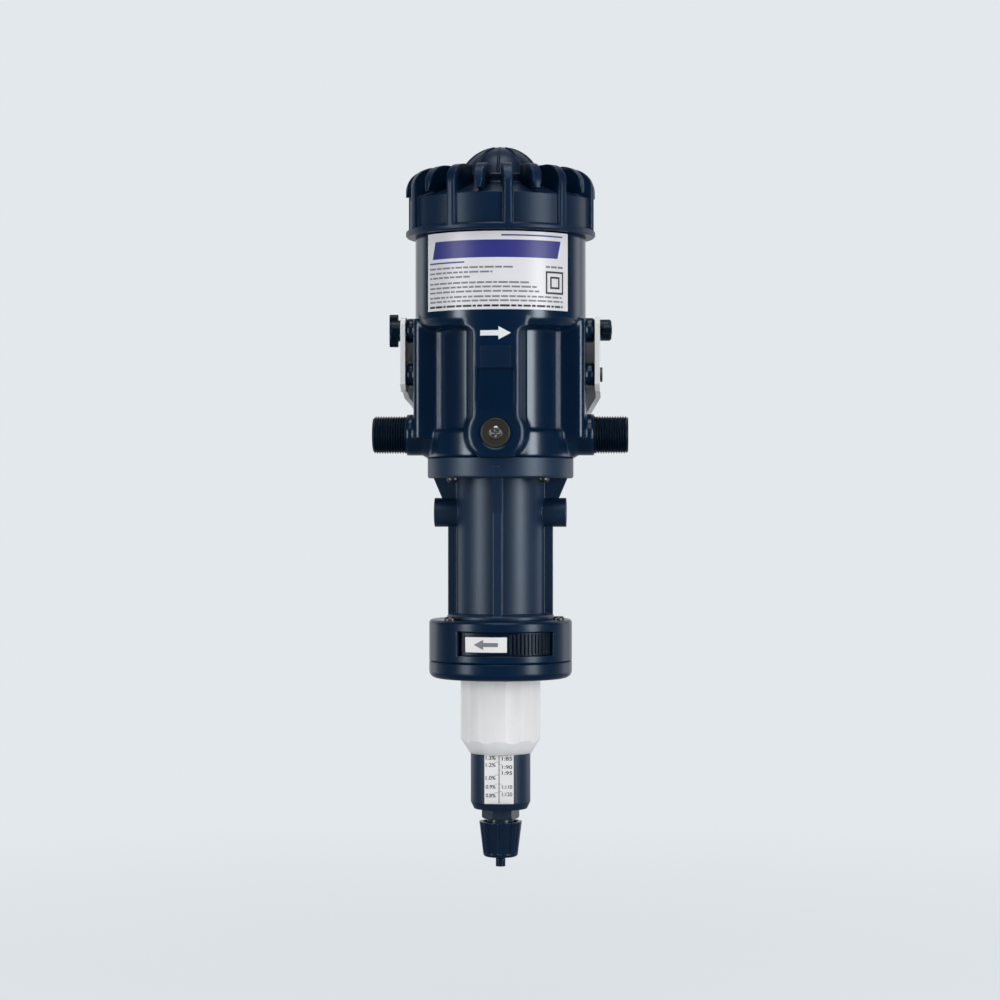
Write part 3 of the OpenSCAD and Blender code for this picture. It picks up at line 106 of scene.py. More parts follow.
def add(tree, kind, settings=None, **inputs):
    """Adds one node with its properties and its inputs, and links an input that is a socket."""
    made = tree.nodes.new(kind)
    for name, value in (settings or {}).items():
        setattr(made, name, value)
    for name, value in inputs.items():
        socket = made.inputs[name.replace("_", " ")]
        if isinstance(value, bpy.types.NodeSocket):
            tree.links.new(value, socket)
        else:
            socket.default_value = value
    return made


def per_mm(size):
    """The noise scale that gives a grain of this many millimetres on coordinates in metres."""
    return 1.0 / (size * MM)


print("navy in linear light:", [round(c, 4) for c in linear("#04203A")])

# %% [markdown]
# ## Moulded plastics
# The cover, the motor body and the adjuster housing are injection-moulded plastic in a deep
# navy. The mould is polished, so the skin is satin, and two things give it away as a
# moulding: the reflections wander a little, because the skin shrinks unevenly, and no edge
# is sharp, because the mould's corners are rounded. A slow noise in the tone and the
# roughness does the first. The Bevel node rounds the normals near an edge, which does the
# second without touching the mesh: the rounder the edge, the wider the strip in which it
# mirrors a lamp. It needs many samples, because few of them blur that strip to a haze.
# White acetal lets light in, so it also scatters under its skin.

# %% Plastic finish
# The waves in a moulded skin, and the span that a noise keeps to in practice
WAVE_MM = 38.0
NOISE_LOW, NOISE_HIGH = 0.1, 0.9
EDGE_SAMPLES = 16


def plastic(name, dark, pale, roughness, grain_mm, grain_depth_mm, wander=0.03, shine=0.5,
            edge_mm=0.5, milk_mm=0.0, sheen="#FFFFFF"):
    """A moulded plastic: two close tones mixed by a slow noise, a fine grain as bump, rounded edges."""
    material = bpy.data.materials.new(name)
    material.use_nodes = True
    tree = material.node_tree
    tree.nodes.clear()
    place = add(tree, "ShaderNodeTexCoord").outputs["Object"]
    slow = add(tree, "ShaderNodeTexNoise", Vector=place, Scale=per_mm(WAVE_MM), Detail=3.0, Roughness=0.55)
    # A Mix node has a socket for each kind of value: for colours, inputs 6 and 7 and output 2
    tone = add(tree, "ShaderNodeMix", {"data_type": "RGBA"}, Factor=slow.outputs["Fac"])
    tone.inputs[6].default_value = linear(dark)
    tone.inputs[7].default_value = linear(pale)
    gloss = add(tree, "ShaderNodeMapRange", Value=slow.outputs["Fac"])
    gloss.inputs["From Min"].default_value = NOISE_LOW
    gloss.inputs["From Max"].default_value = NOISE_HIGH
    gloss.inputs["To Min"].default_value = roughness - wander
    gloss.inputs["To Max"].default_value = roughness + wander
    rounded = add(tree, "ShaderNodeBevel", {"samples": EDGE_SAMPLES}, Radius=edge_mm * MM)
    fine = add(tree, "ShaderNodeTexNoise", Vector=place, Scale=per_mm(grain_mm), Detail=2.0, Roughness=0.5)
    skin = add(tree, "ShaderNodeBump", Height=fine.outputs["Fac"], Strength=1.0,
               Distance=grain_depth_mm * MM, Normal=rounded.outputs["Normal"])
    surface = add(tree, "ShaderNodeBsdfPrincipled", Base_Color=tone.outputs[2],
                  Roughness=gloss.outputs["Result"], Normal=skin.outputs["Normal"], IOR=1.5)
    surface.inputs["Specular IOR Level"].default_value = shine
    surface.inputs["Specular Tint"].default_value = linear(sheen)
    if milk_mm:
        surface.inputs["Subsurface Weight"].default_value = 0.7
        surface.inputs["Subsurface Scale"].default_value = milk_mm * MM
        surface.inputs["Subsurface Radius"].default_value = (1.0, 1.0, 1.0)
    add(tree, "ShaderNodeOutputMaterial", Surface=surface.outputs["BSDF"])
    return material


# The navy pieces throw back a slightly blue light
COOL = "#E7F4FF"
# Glass-filled polypropylene from a polished mould: satin, deep navy
navy = plastic("moulded_navy_polypropylene", "#03182F", "#04203A", 0.29, 1.6, 0.008,
               shine=0.28, edge_mm=1.2, sheen=COOL)
# The cover comes from a finely blasted mould: its highlights are broad and weak
satin = plastic("satin_navy_polypropylene", "#031830", "#04203B", 0.38, 1.0, 0.012,
                shine=0.28, edge_mm=1.2, sheen=COOL)
# The motor body's edges are the roundest of all, and they draw the bright upright lines
body_navy = plastic("thick_walled_navy_polypropylene", "#02172E", "#041E38", 0.21, 2.4, 0.006,
                    shine=0.46, edge_mm=4.5, sheen=COOL)
# The same plastic from a spark-eroded mould: matt, with a visible grain
grained = plastic("grained_navy_polypropylene", "#071F38", "#0B2743", 0.42, 0.9, 0.045,
                  shine=0.52, edge_mm=1.2, sheen=COOL)
# The moulded field on the front panel has the panel's plastic and crisp edges
crisp = plastic("crisp_navy_polypropylene", "#04182E", "#06203A", 0.34, 1.6, 0.008,
                shine=0.3, edge_mm=0.2, sheen=COOL)
# The step below it is smooth again
deep = plastic("smooth_navy_polypropylene", "#02152B", "#031B34", 0.24, 2.4, 0.006,
               shine=0.3, edge_mm=0.2, sheen=COOL)
# The sleeve is drawn from a mould with a fine blast finish: matt, and bluer at its flanks
blasted = plastic("blasted_navy_acetal", "#081D35", "#0D2642", 0.40, 0.7, 0.012,
                  shine=0.55, edge_mm=0.8, sheen=COOL)
# Acetal, nearly black, for threads, nipples and knobs
acetal = plastic("machined_dark_acetal", "#02101F", "#031728", 0.32, 1.1, 0.01,
                 shine=0.2, edge_mm=0.6, sheen=COOL)
# The hose nut comes from a polished mould and shines more
glossy = plastic("polished_dark_acetal", "#05192E", "#082039", 0.27, 2.2, 0.008,
                 shine=0.45, edge_mm=0.8, sheen=COOL)
# The valve seat's hexagon is greyer and mirrors more than what it sits between
hexagon = plastic("polished_grey_acetal", "#1C2936", "#283542", 0.2, 2.2, 0.006, shine=0.9, edge_mm=0.5)
# Natural acetal for the adjusting nut: an even milky white
milky = plastic("white_acetal", "#E0E0E0", "#E7E7E6", 0.42, 1.4, 0.010, milk_mm=9.0)
# The scale strip and the lock's plate are white sheet, printed on, and not translucent
strip_white = plastic("white_printed_sheet", "#DEDEDE", "#E4E4E3", 0.45, 1.2, 0.005, edge_mm=0.2)
# Olive-grey plastic of the front plug
olive = plastic("olive_grey_nylon", "#1F1D18", "#2A2721", 0.45, 0.8, 0.03)
# Filled engineering plastic of the motor piston
filled = plastic("graphite_filled_plastic", "#23292F", "#2E353C", 0.5, 0.8, 0.02)
navy_tones = (navy, satin, body_navy, crisp, deep, grained, blasted)
print("navy plastics:", [m.name for m in navy_tones])

# %% [markdown]
# ## Metals and rubber
# A drawn or turned metal shows fine lines along the way it was worked, so its bump and its
# gloss come from one noise, squeezed across the lines and stretched along them.
# The bracket is folded from zinc-coated sheet. The zinc is matt and pale, nearly white in
# soft light, so it is only a little metallic. The cylinder's liner is a honed steel tube.
# The screws are turned. Those of the bracket, the flange and the housing are rougher, and their steel is
# drawn dark grey as painted shade, for they sit in shadow. The seals are black rubber.

# %% Metal and rubber finishes
METAL_EDGE_MM, METAL_EDGE_SAMPLES = 0.3, 4
GLOSS_SPREAD = 0.08


def metal(name, colour, roughness, line_mm, depth_mm, stretch, metallic=1.0):
    """A metal with fine lines: one noise, stretched where the factor is small, in gloss and bump."""
    material = bpy.data.materials.new(name)
    material.use_nodes = True
    tree = material.node_tree
    tree.nodes.clear()
    place = add(tree, "ShaderNodeTexCoord").outputs["Object"]
    laid = add(tree, "ShaderNodeMapping", Vector=place)
    laid.inputs["Scale"].default_value = stretch
    lines = add(tree, "ShaderNodeTexNoise", Vector=laid.outputs["Vector"], Scale=per_mm(line_mm),
                Detail=4.0, Roughness=0.6)
    gloss = add(tree, "ShaderNodeMapRange", Value=lines.outputs["Fac"])
    gloss.inputs["To Min"].default_value = roughness - GLOSS_SPREAD
    gloss.inputs["To Max"].default_value = roughness + GLOSS_SPREAD
    rounded = add(tree, "ShaderNodeBevel", {"samples": METAL_EDGE_SAMPLES}, Radius=METAL_EDGE_MM * MM)
    skin = add(tree, "ShaderNodeBump", Height=lines.outputs["Fac"], Strength=1.0, Distance=depth_mm * MM,
               Normal=rounded.outputs["Normal"])
    surface = add(tree, "ShaderNodeBsdfPrincipled", Base_Color=linear(colour), Metallic=metallic,
                  Roughness=gloss.outputs["Result"], Normal=skin.outputs["Normal"])
    add(tree, "ShaderNodeOutputMaterial", Surface=surface.outputs["BSDF"])
    return material


sheet_steel = metal("zinc_coated_sheet", "#F0F1F2", 0.5, 0.9, 0.012, (1.0, 0.04, 1.0), metallic=0.2)
polished_steel = metal("honed_stainless_tube", "#C9CBCD", 0.2, 0.5, 0.003, (1.0, 1.0, 0.05))
turned_steel = metal("turned_stainless", "#C9C9C6", 0.24, 0.6, 0.004, (1.0, 1.0, 1.0))
# Painted shade: the outer screws' steel is dark grey because they sit in shadow; their roughness is their
# own
shadow_darkened_steel = metal("stainless_with_painted_shade", "#5A5A5A", 0.42, 0.5, 0.006, (1.0, 1.0, 1.0))
rubber = plastic("moulded_black_rubber", "#0C0C0D", "#151516", 0.75, 0.5, 0.03)
print("metals:", sheet_steel.name, turned_steel.name, "rubber:", rubber.name)

# %% [markdown]
# ## Dress the solids
# Each solid gets the finish of its real piece. A node keeps its mesh, and only the material
# in its slots changes.

# %% Finishes of the solids
FINISHES = {
    satin: ["motor_cover"],
    navy: ["adjuster_housing", "housing_cover"],
    body_navy: ["motor_body"],
    grained: ["injector_body"],
    acetal: ["vent_screw", "wing_screw_left", "wing_screw_right", "lock_slider", "valve_cage",
             "inlet_nipple", "outlet_nipple"],
    glossy: ["hose_nut", "hose_barb"],
    hexagon: ["valve_seat"],
    blasted: ["dosing_sleeve"],
    milky: ["adjusting_nut", "suction_poppet"],
    strip_white: ["scale_strip", "lock_plate"],
    olive: ["front_plug"],
    filled: ["motor_piston", "valve_plate"],
    sheet_steel: ["wall_bracket"],
    polished_steel: ["cylinder_liner"],
    turned_steel: ["plug_screw", "plunger", "trip_rod", "toggle_left", "toggle_right", "toggle_pins",
                   "lock_spring", "suction_spring"],
    shadow_darkened_steel: ["bracket_screw", "flange_screws", "housing_screws"],
    rubber: ["cover_seal", "flange_seal", "sleeve_seal", "valve_oring", "deck_seal", "skirt_seal",
             "plunger_seal", "valve_pads"],
}
for finish, names in FINISHES.items():
    for name in names:
        for slot in nodes[name].material_slots:
            slot.material = finish
dressed = sorted(name for names in FINISHES.values() for name in names)
print("dressed", len(dressed), "of", len(nodes), "left out:", sorted(set(nodes) - set(dressed)))

# %% [markdown]
# ## Surfaces from arrays
# Every new piece is a grid of points. Its two directions are a profile and a path, and each
# can close on itself: a ring closes along the path, a tube's section closes along the
# profile. The whole grid is worked out at once as arrays, and the four corners of each face
# follow from counting along the rows.

# %% Grid helper
def grid_faces(rows, columns, close_rows, close_columns):
    """Corner numbers of the faces of a grid of rows by columns, where either direction may close."""
    row = np.arange(rows if close_rows else rows - 1)
    column = np.arange(columns if close_columns else columns - 1)
    r, c = np.meshgrid(row, column, indexing="ij")
    after_r, after_c = (r + 1) % rows, (c + 1) % columns
    corners = [r * columns + c, r * columns + after_c, after_r * columns + after_c, after_r * columns + c]
    return np.stack(corners, axis=-1).reshape(-1, 4)


def make_piece(name, points, faces, finish, body, smooth=True):
    """Puts points and faces into a mesh, gives it a finish and hangs it on a body of the frame."""
    mesh = bpy.data.meshes.new(name)
    mesh.from_pydata(points.reshape(-1, 3), [], [list(map(int, face)) for face in faces])
    mesh.polygons.foreach_set("use_smooth", np.full(len(mesh.polygons), smooth))
    mesh.materials.append(finish)
    mesh.update()
    piece = bpy.data.objects.new(name, mesh)
    bpy.context.scene.collection.objects.link(piece)
    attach(piece, body)
    return piece


print("a grid of 3 by 4 has", len(grid_faces(3, 4, False, True)), "faces when its columns close")

# %% [markdown]
# ## Port threads
# Both nipples carry a male three-quarter-inch pipe thread: 14 turns to the inch, so one turn
# every 1.814 mm, 1.16 mm deep, 26.44 mm over the crests. A thread is a helix, so the
# radius at a place depends on how far it is along the axis and on how far round: moving
# one turn round is the same as moving one pitch along. The solid is a plain cylinder over
# the crests, and this piece takes its place. Its size and place come from the solid's box.

# %% Threaded nipples
PITCH = 25.4 / 14 * MM
THREAD_DEPTH = 1.162 * MM
NIPPLE_BORE = 9.5 * MM
SPIGOT = 11.5 * MM
port_low, port_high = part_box("outlet_nipple")
CREST = (port_high.y - port_low.y) / 2
PORT_Z = (port_high.z + port_low.z) / 2
PORT_END = port_high.x
PORT_ROOT = port_low.x
THREAD_LENGTH = 24.1 * MM
THREAD_START = PORT_END - THREAD_LENGTH
END_CHAMFER = 1.5 * MM
BORE_CHAMFER = 0.6 * MM
# The triangle wave is steepened and lowered, which flattens its crests and roots
TOOTH_STEEP, TOOTH_FLAT = 1.25, 0.12
LEAD_OUT = 1.2 * PITCH
THREAD_ROWS, THREAD_COLUMNS = 260, 96


def thread_radius(along, round_turns):
    """Crest radius less a triangle wave of along / pitch - turns, shallower where it starts and ends."""
    phase = (along - THREAD_START) / PITCH - round_turns
    wave = np.abs(2 * (phase - np.floor(phase)) - 1)
    cut = THREAD_DEPTH * np.clip(TOOTH_STEEP * (1 - wave) - TOOTH_FLAT, 0, 1)
    lead_out = np.clip((along - THREAD_START) / LEAD_OUT, 0, 1)
    chamfer = np.clip(along - (PORT_END - END_CHAMFER), 0, None)
    return np.minimum(CREST - cut * lead_out, CREST - chamfer)


def nipple(name, side):
    """A closed profile carried round the port's axis: thread, end face, bore, inner end and spigot."""
    turns = np.linspace(0, 1, THREAD_COLUMNS, endpoint=False)
    along = np.linspace(THREAD_START, PORT_END, THREAD_ROWS)
    thread = thread_radius(along[:, None], turns[None, :])
    ends = [(PORT_END, NIPPLE_BORE + BORE_CHAMFER), (PORT_END - BORE_CHAMFER, NIPPLE_BORE),
            (PORT_ROOT, NIPPLE_BORE), (PORT_ROOT, SPIGOT), (THREAD_START, SPIGOT)]
    x = np.concatenate([along, [e[0] for e in ends]])
    radius = np.vstack([thread, np.repeat([[e[1]] for e in ends], len(turns), axis=1)])
    angle = 2 * np.pi * turns
    grid_x = side * np.repeat(x[:, None], len(turns), axis=1)
    points = np.stack([grid_x, radius * np.cos(angle), PORT_Z + radius * np.sin(angle)], axis=-1)
    faces = grid_faces(len(x), len(turns), True, True)
    if side < 0:
        faces = faces[:, ::-1]
    piece = make_piece(name, points, faces, acetal, "pump_body")
    piece.data.set_sharp_from_angle(angle=math.radians(40))
    return piece


inlet = nipple("inlet_thread", -1)
outlet = nipple("outlet_thread", 1)
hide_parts("inlet_nipple")
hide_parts("outlet_nipple")
print("thread turns:", round(THREAD_LENGTH / PITCH, 1), "faces:", len(inlet.data.polygons))

# %% [markdown]
# ## Print and labels on the round barrel
# A label is drawn flat and wrapped round the barrel, so each point is given by how far it
# lies round the barrel, u, and how high, z. The wrap turns u into the angle u / R. Every
# printed mark is a run of narrow upright strips, so it follows the curve.

# %% Wrapping
BARREL = 59.9 * MM
# A slanted bar has more rows, so that it follows the curve as it moves aside
SLANT_ROWS = 9


def wrapped(u, z, radius):
    """The point u round a cylinder and z up it, at the angle u / radius, where 0 faces -Y."""
    angle = u / radius
    return np.stack([radius * np.sin(angle), -radius * np.cos(angle), z + 0 * angle], axis=-1)


def bars(marks, radius, step=1.5 * MM):
    """Bars (left, right, low, high, slant) in mm, wrapped: each moves aside by slant times its height."""
    all_points, all_faces, count = [], [], 0
    for left, right, low, high, slant in np.array(marks) * MM:
        parts = max(2, int((right - left) / step) + 2)
        levels = SLANT_ROWS if slant else 2
        u = np.linspace(left, right, parts)
        z = np.linspace(low, high, levels)
        grid_u = u[None, :] + slant * (z[:, None] - low) / MM
        points = wrapped(grid_u, np.repeat(z[:, None], parts, axis=1), radius)
        all_points.append(points.reshape(-1, 3))
        all_faces.append(grid_faces(levels, parts, False, False) + count)
        count += points.shape[0] * points.shape[1]
    return np.concatenate(all_points), np.concatenate(all_faces)


points, faces = bars([(0, 10, 0, 2, 0)], BARREL)
print("a bar of 10 mm has", len(points), "points and", len(faces), "faces")

# %% [markdown]
# ## The label
# A white vinyl label wraps the front of the barrel under the cover's lip, 112 mm round and
# 53 mm high. The maker's print is left out. A plain blue band with two thin rules stands in
# the place of the large lettering, rows of grey dashes in the place of the small print, and
# a plain square frame in the place of the printed square.

# %% Label finishes
vinyl = plastic("white_vinyl_film", "#D2D2D6", "#D9D9DD", 0.38, 3.0, 0.006, edge_mm=0.05)
blue_ink = plastic("screen_printed_blue_ink", "#232674", "#2A2E80", 0.45, 1.0, 0.004, edge_mm=0.05)
grey_ink = plastic("printed_grey_ink", "#6E6E76", "#7A7A82", 0.5, 1.0, 0.004, edge_mm=0.05)
black_ink = plastic("printed_black_ink", "#1A1A1E", "#232327", 0.5, 1.0, 0.004, edge_mm=0.05)
white_ink = plastic("pad_printed_white_ink", "#D4D6D8", "#DDDEE0", 0.5, 1.0, 0.004, edge_mm=0.05)
print("inks:", [m.name for m in (blue_ink, grey_ink, black_ink, white_ink)])

# %% Label film
LABEL_LEFT, LABEL_RIGHT = -55.7, 56.3
LABEL_LOW, LABEL_HIGH = 387.6, 440.9
LABEL_TOP = BARREL + 0.14 * MM
FILM_THICKNESS = 0.12 * MM
FINE_STEP = 0.6 * MM
points, faces = bars([(LABEL_LEFT, LABEL_RIGHT, LABEL_LOW, LABEL_HIGH, 0)], LABEL_TOP, step=FINE_STEP)
label = make_piece("label_film", points, faces, vinyl, "pump_body", smooth=False)
film = label.modifiers.new("thickness", "SOLIDIFY")
film.thickness = FILM_THICKNESS
film.offset = -1
print("label:", round(LABEL_RIGHT - LABEL_LEFT, 1), "x", round(LABEL_HIGH - LABEL_LOW, 1), "mm")

# %% Print on the label
PRINT = LABEL_TOP + 0.06 * MM
# The slanted band, the rule above it and the rule below it
blue_marks = [(-50.0, 46.0, 423.0, 435.0, 0.25),
              (4.0, 50.5, 437.6, 438.6, 0.0),
              (-53.0, -22.0, 419.6, 420.6, 0.0)]
points, faces = bars(blue_marks, PRINT)
make_piece("label_band", points, faces, blue_ink, "pump_body")

generator = np.random.default_rng(4)
DASH_SHORT, DASH_LONG, DASH_GAP, DASH_COUNT = 2.0, 7.0, 0.9, 40
PRINT_LEFT = -53.0
# Half the height of a row of grey dashes, and the width of a frame's line
HALF_ROW, FRAME_LINE = 0.6, 1.3


def dashes(left, right, low, high):
    """A row of dashes in the place of a line of small print: each starts a gap after the last one's end."""
    length = generator.uniform(DASH_SHORT, DASH_LONG, DASH_COUNT)
    start = left + np.concatenate([[0], np.cumsum(length + DASH_GAP)[:-1]])
    end = np.minimum(start + length, right)
    keep = start < right - 1.0
    return [(s, e, low, high, 0.0) for s, e in zip(start[keep], end[keep])]


# Each row's height and right end
rows = [(416.4, 13.0), (413.2, -2.0), (410.0, -17.0), (406.0, 25.0), (403.0, 29.0), (400.0, 31.0),
        (396.4, 51.0), (393.6, 51.0)]
grey_marks = []
for middle, right in rows:
    grey_marks += dashes(PRINT_LEFT, right, middle - HALF_ROW, middle + HALF_ROW)
grey_marks += dashes(36.0, 51.0, 416.4, 417.8)
points, faces = bars(grey_marks, PRINT)
make_piece("label_dashes", points, faces, grey_ink, "pump_body")


def frame_marks(left, right, low, high, line):
    """Four bars round a rectangle, each as wide as the line: the bottom, the top and the two sides."""
    return [(left, right, low, low + line, 0.0),
            (left, right, high - line, high, 0.0),
            (left, left + line, low + line, high - line, 0.0),
            (right - line, right, low + line, high - line, 0.0)]


black_marks = dashes(PRINT_LEFT, 51.0, 389.4, 390.8)
black_marks += frame_marks(36.0, 51.5, 398.6, 414.2, FRAME_LINE)
black_marks += frame_marks(39.6, 47.9, 402.2, 410.6, FRAME_LINE)
points, faces = bars(black_marks, PRINT)
make_piece("label_frame", points, faces, black_ink, "pump_body")
print("bars on the label:", len(blue_marks) + len(grey_marks) + len(black_marks))

# %% [markdown]
# ## Arrows
# The pump's front panel and the lock's push plate each carry a mark. A plain arrow stands
# in its place: the panel's is white and points the way the water flows, from the inlet on
# the left to the outlet on the right, and the plate's is grey and points to the left.

# %% Arrows
INK_LIFT = 0.05 * MM
FLOW_ARROW_Z = 371.5
PLATE_RADIUS = 48.3 * MM
# How far along the arrow its shape changes, and half its height there, both as shares
ARROW_ALONG = (0.0, 0.12, 0.24, 0.36, 0.48, 0.6, 0.6, 0.68, 0.76, 0.84, 0.92, 1.0)
ARROW_HALF = (0.2,) * 6 + (0.5, 0.4, 0.3, 0.2, 0.1, 0.004)


def arrow(name, tail, tip, middle, height, radius, body, ink):
    """A wrapped arrow in mm: a shaft two fifths of its height, then a head that narrows to its point."""
    share = np.array(ARROW_ALONG)
    half = np.array(ARROW_HALF) * height
    u = tail + (tip - tail) * share
    if tip < tail:
        u, half = u[::-1], half[::-1]
    rise = np.array([[-1.0], [1.0]]) * half[None, :]
    points = wrapped(np.repeat(u[None, :], 2, axis=0) * MM, (middle + rise) * MM, radius)
    return make_piece(name, points, grid_faces(2, len(u), False, False), ink, body, smooth=False)


arrow("flow_arrow", -10.5, 10.5, FLOW_ARROW_Z, 9.0, BARREL + INK_LIFT, "pump_body", white_ink)
plate_low, plate_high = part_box("lock_plate")
plate_middle = (plate_low.z + plate_high.z) / 2 / MM
arrow("push_arrow", 1.0, -16.0, plate_middle, 7.0, PLATE_RADIUS + INK_LIFT, "lock", grey_ink)
print("arrows at heights", FLOW_ARROW_Z, "and", round(plate_middle, 1), "mm")

# %% [markdown]
# ## A plain field and the ramp under it
# Under the arrow the mould leaves a field that stands a hair's breadth proud, where the real
# pump carries a moulded mark. It is a wrapped plate, left bare. Below it the panel steps
# back and comes forward again towards the round boss. The ramp is a wrapped surface whose
# radius grows from the step down to the boss, fast at first and then more slowly.

# %% Raised field
FIELD_HALF, FIELD_LOW, FIELD_HIGH = 10.7, 348.0, 362.7
FIELD_LIFT, FIELD_THICKNESS = 0.25 * MM, 0.3 * MM
points, faces = bars([(-FIELD_HALF, FIELD_HALF, FIELD_LOW, FIELD_HIGH, 0)], BARREL + FIELD_LIFT,
                     step=FINE_STEP)
field = make_piece("panel_field", points, faces, crisp, "pump_body", smooth=False)
plate = field.modifiers.new("thickness", "SOLIDIFY")
plate.thickness = FIELD_THICKNESS
plate.offset = -1
print("field on the panel:", len(field.data.polygons), "faces")

# %% Ramp below the step
RAMP_TOP, RAMP_FOOT, RAMP_END = 346.95, 322.6, 319.6
RAMP_HALF, RAMP_ROWS, RAMP_COLUMNS = 12.2, 36, 40
# How far the step lies back, how far the ramp comes forward again, and how it bends
RAMP_BACK, RAMP_RISE, RAMP_BEND = -1.05, 1.10, 1.6
across = np.linspace(-RAMP_HALF, RAMP_HALF, RAMP_COLUMNS) * MM
height = np.linspace(RAMP_TOP, RAMP_END, RAMP_ROWS)
run = np.clip((RAMP_TOP - height) / (RAMP_TOP - RAMP_FOOT), 0, 1)
radius = BARREL + (RAMP_BACK + RAMP_RISE * (1 - (1 - run) ** RAMP_BEND)) * MM
grid_u, grid_z = np.meshgrid(across, height * MM)
points = wrapped(grid_u, grid_z, radius[:, None])
faces = grid_faces(RAMP_ROWS, RAMP_COLUMNS, False, False)[:, ::-1]
make_piece("panel_ramp", points, faces, deep, "pump_body")
print("ramp from", RAMP_TOP, "down to", RAMP_END, "mm")

# %% [markdown]
# ## The dosing scale
# The sleeve's flat carries a white strip with a line down its middle. On the left the dose
# is in percent, on the right as one part in so many. The numbers are Blender's own text,
# turned to a mesh and laid on the flat before they ride on the sleeve.

# %% Scale
strip_low, strip_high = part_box("scale_strip")
STRIP_FACE = strip_low.y - 0.04 * MM
# The numbers' height, the left and right end of each column, and how much bolder they are
NUMBER_HEIGHT = 2.7
PERCENT_LEFT, PERCENT_RIGHT = -9.3, -2.4
ONE_IN_LEFT, ONE_IN_RIGHT = 2.0, 9.2
BOLDER = 0.016
# A tick lies this far above its number's middle
TICK_LOW, TICK_HIGH = 1.9, 2.15


def flat_bars(marks):
    """Upright rectangles (left, right, low, high) in mm on the strip's face."""
    left, right, low, high = (np.array(marks) * MM).T
    x = np.stack([left, right, right, left], axis=-1)
    z = np.stack([low, low, high, high], axis=-1)
    points = np.stack([x, np.full_like(x, STRIP_FACE), z], axis=-1)
    return points.reshape(-1, 3), np.arange(points.size // 3).reshape(-1, 4)


def number_mesh(text, height, left, right, middle):
    """A number made a mesh, its box scaled to left, right and height round the middle of its place."""
    curve = bpy.data.curves.new("number", "FONT")
    curve.body = text
    curve.offset = BOLDER
    written = bpy.data.objects.new("number", curve)
    bpy.context.scene.collection.objects.link(written)
    shapes = bpy.context.evaluated_depsgraph_get()
    mesh = bpy.data.meshes.new_from_object(written.evaluated_get(shapes))
    flat = np.zeros(len(mesh.vertices) * 3)
    mesh.vertices.foreach_get("co", flat)
    flat = flat.reshape(-1, 3)
    low, high = flat.min(axis=0), flat.max(axis=0)
    x = left + (flat[:, 0] - low[0]) / (high[0] - low[0]) * (right - left)
    z = middle + ((flat[:, 1] - low[1]) / (high[1] - low[1]) - 0.5) * height
    faces = [list(polygon.vertices) for polygon in mesh.polygons]
    bpy.data.objects.remove(written)
    bpy.data.meshes.remove(mesh)
    return np.stack([x * MM, np.full_like(x, STRIP_FACE), z * MM], axis=-1), faces


def join(pieces):
    """Several (points, faces) as one: each piece's corner numbers grow by the points before it."""
    all_faces, start = [], 0
    for points, faces in pieces:
        all_faces += [[v + start for v in face] for face in faces]
        start += len(points)
    return np.concatenate([points for points, _ in pieces]), all_faces


# Each number with the height of its middle
percent = [(77.9, "1.3%"), (73.0, "1.2%"), (64.0, "1.0%"), (57.7, "0.9%"), (51.7, "0.8%"),
           (86.0, "1.5%"), (94.0, "1.7%")]
one_in = [(80.9, "1:80"), (77.4, "1:85"), (71.5, "1:90"), (67.4, "1:95"), (57.7, "1:110"),
          (52.6, "1:120"), (88.0, "1:70"), (96.0, "1:60")]
scale_line = [(-0.35, 0.35, 46.5, 128.0)]
ticks = [(-3.2, 0.0, z + TICK_LOW, z + TICK_HIGH) for z, _ in percent]
ticks += [(0.0, 2.0, z + TICK_LOW, z + TICK_HIGH) for z, _ in one_in]
line_points, line_faces = flat_bars(scale_line + ticks)
make_piece("scale_lines", line_points, line_faces, grey_ink, "sleeve", smooth=False)
numbers = [number_mesh(text, NUMBER_HEIGHT, PERCENT_LEFT, PERCENT_RIGHT, z) for z, text in percent]
numbers += [number_mesh(text, NUMBER_HEIGHT, ONE_IN_LEFT, ONE_IN_RIGHT, z) for z, text in one_in]
number_points, number_faces = join(numbers)
make_piece("scale_numbers", number_points, number_faces, black_ink, "sleeve", smooth=False)
print("numbers on the scale:", len(numbers), "faces:", len(number_faces))

# %% [markdown]
# ## Small turned details
# The front plug has a thin raised rim, and the flange below the ports carries two small
# moulded dots. Both are profiles turned round an axis that points to the front.

# %% Plug rim and flange dots
AROUND = 64
# The pole stands a little further out than the profile's last ring
POLE_OUT = 1.02


def turned(across, out, centre, finish, name, body, closed):
    """A profile (across, out) in mm turned round an axis along -Y; an open one is closed by a pole."""
    angle = np.linspace(0, 2 * np.pi, AROUND, endpoint=False)
    rho = np.array(across)[:, None] * MM
    depth = np.array(out)[:, None] * MM + 0 * angle
    x, z = centre[0] + rho * np.cos(angle), centre[2] + rho * np.sin(angle)
    points = np.stack([x, centre[1] - depth, z], axis=-1).reshape(-1, 3)
    faces = grid_faces(len(across), AROUND, closed, True).tolist()
    if not closed:
        first = (len(across) - 1) * AROUND
        pole = len(points)
        points = np.vstack([points, [centre[0], centre[1] - POLE_OUT * out[-1] * MM, centre[2]]])
        faces += [[first + k, first + (k + 1) % AROUND, pole] for k in range(AROUND)]
    return make_piece(name, points, faces, finish, body)


plug_low, plug_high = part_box("front_plug")
plug_centre = (0.0, plug_low.y, (plug_low.z + plug_high.z) / 2)
plug_radius = (plug_high.x - plug_low.x) / 2 / MM
# The rim is a flattened ring: how far in it lies, half its width and half its height
RIM_IN, RIM_HALF, RIM_HIGH = 0.75, 0.55, 0.35
t = np.linspace(0, 2 * np.pi, 16, endpoint=False)
rim_across, rim_out = plug_radius - RIM_IN + RIM_HALF * np.cos(-t), RIM_HIGH * np.sin(-t)
turned(rim_across, rim_out, plug_centre, olive, "plug_rim", "pump_body", True)

flange_low, flange_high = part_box("injector_body")
FLANGE_RADIUS = -flange_low.y
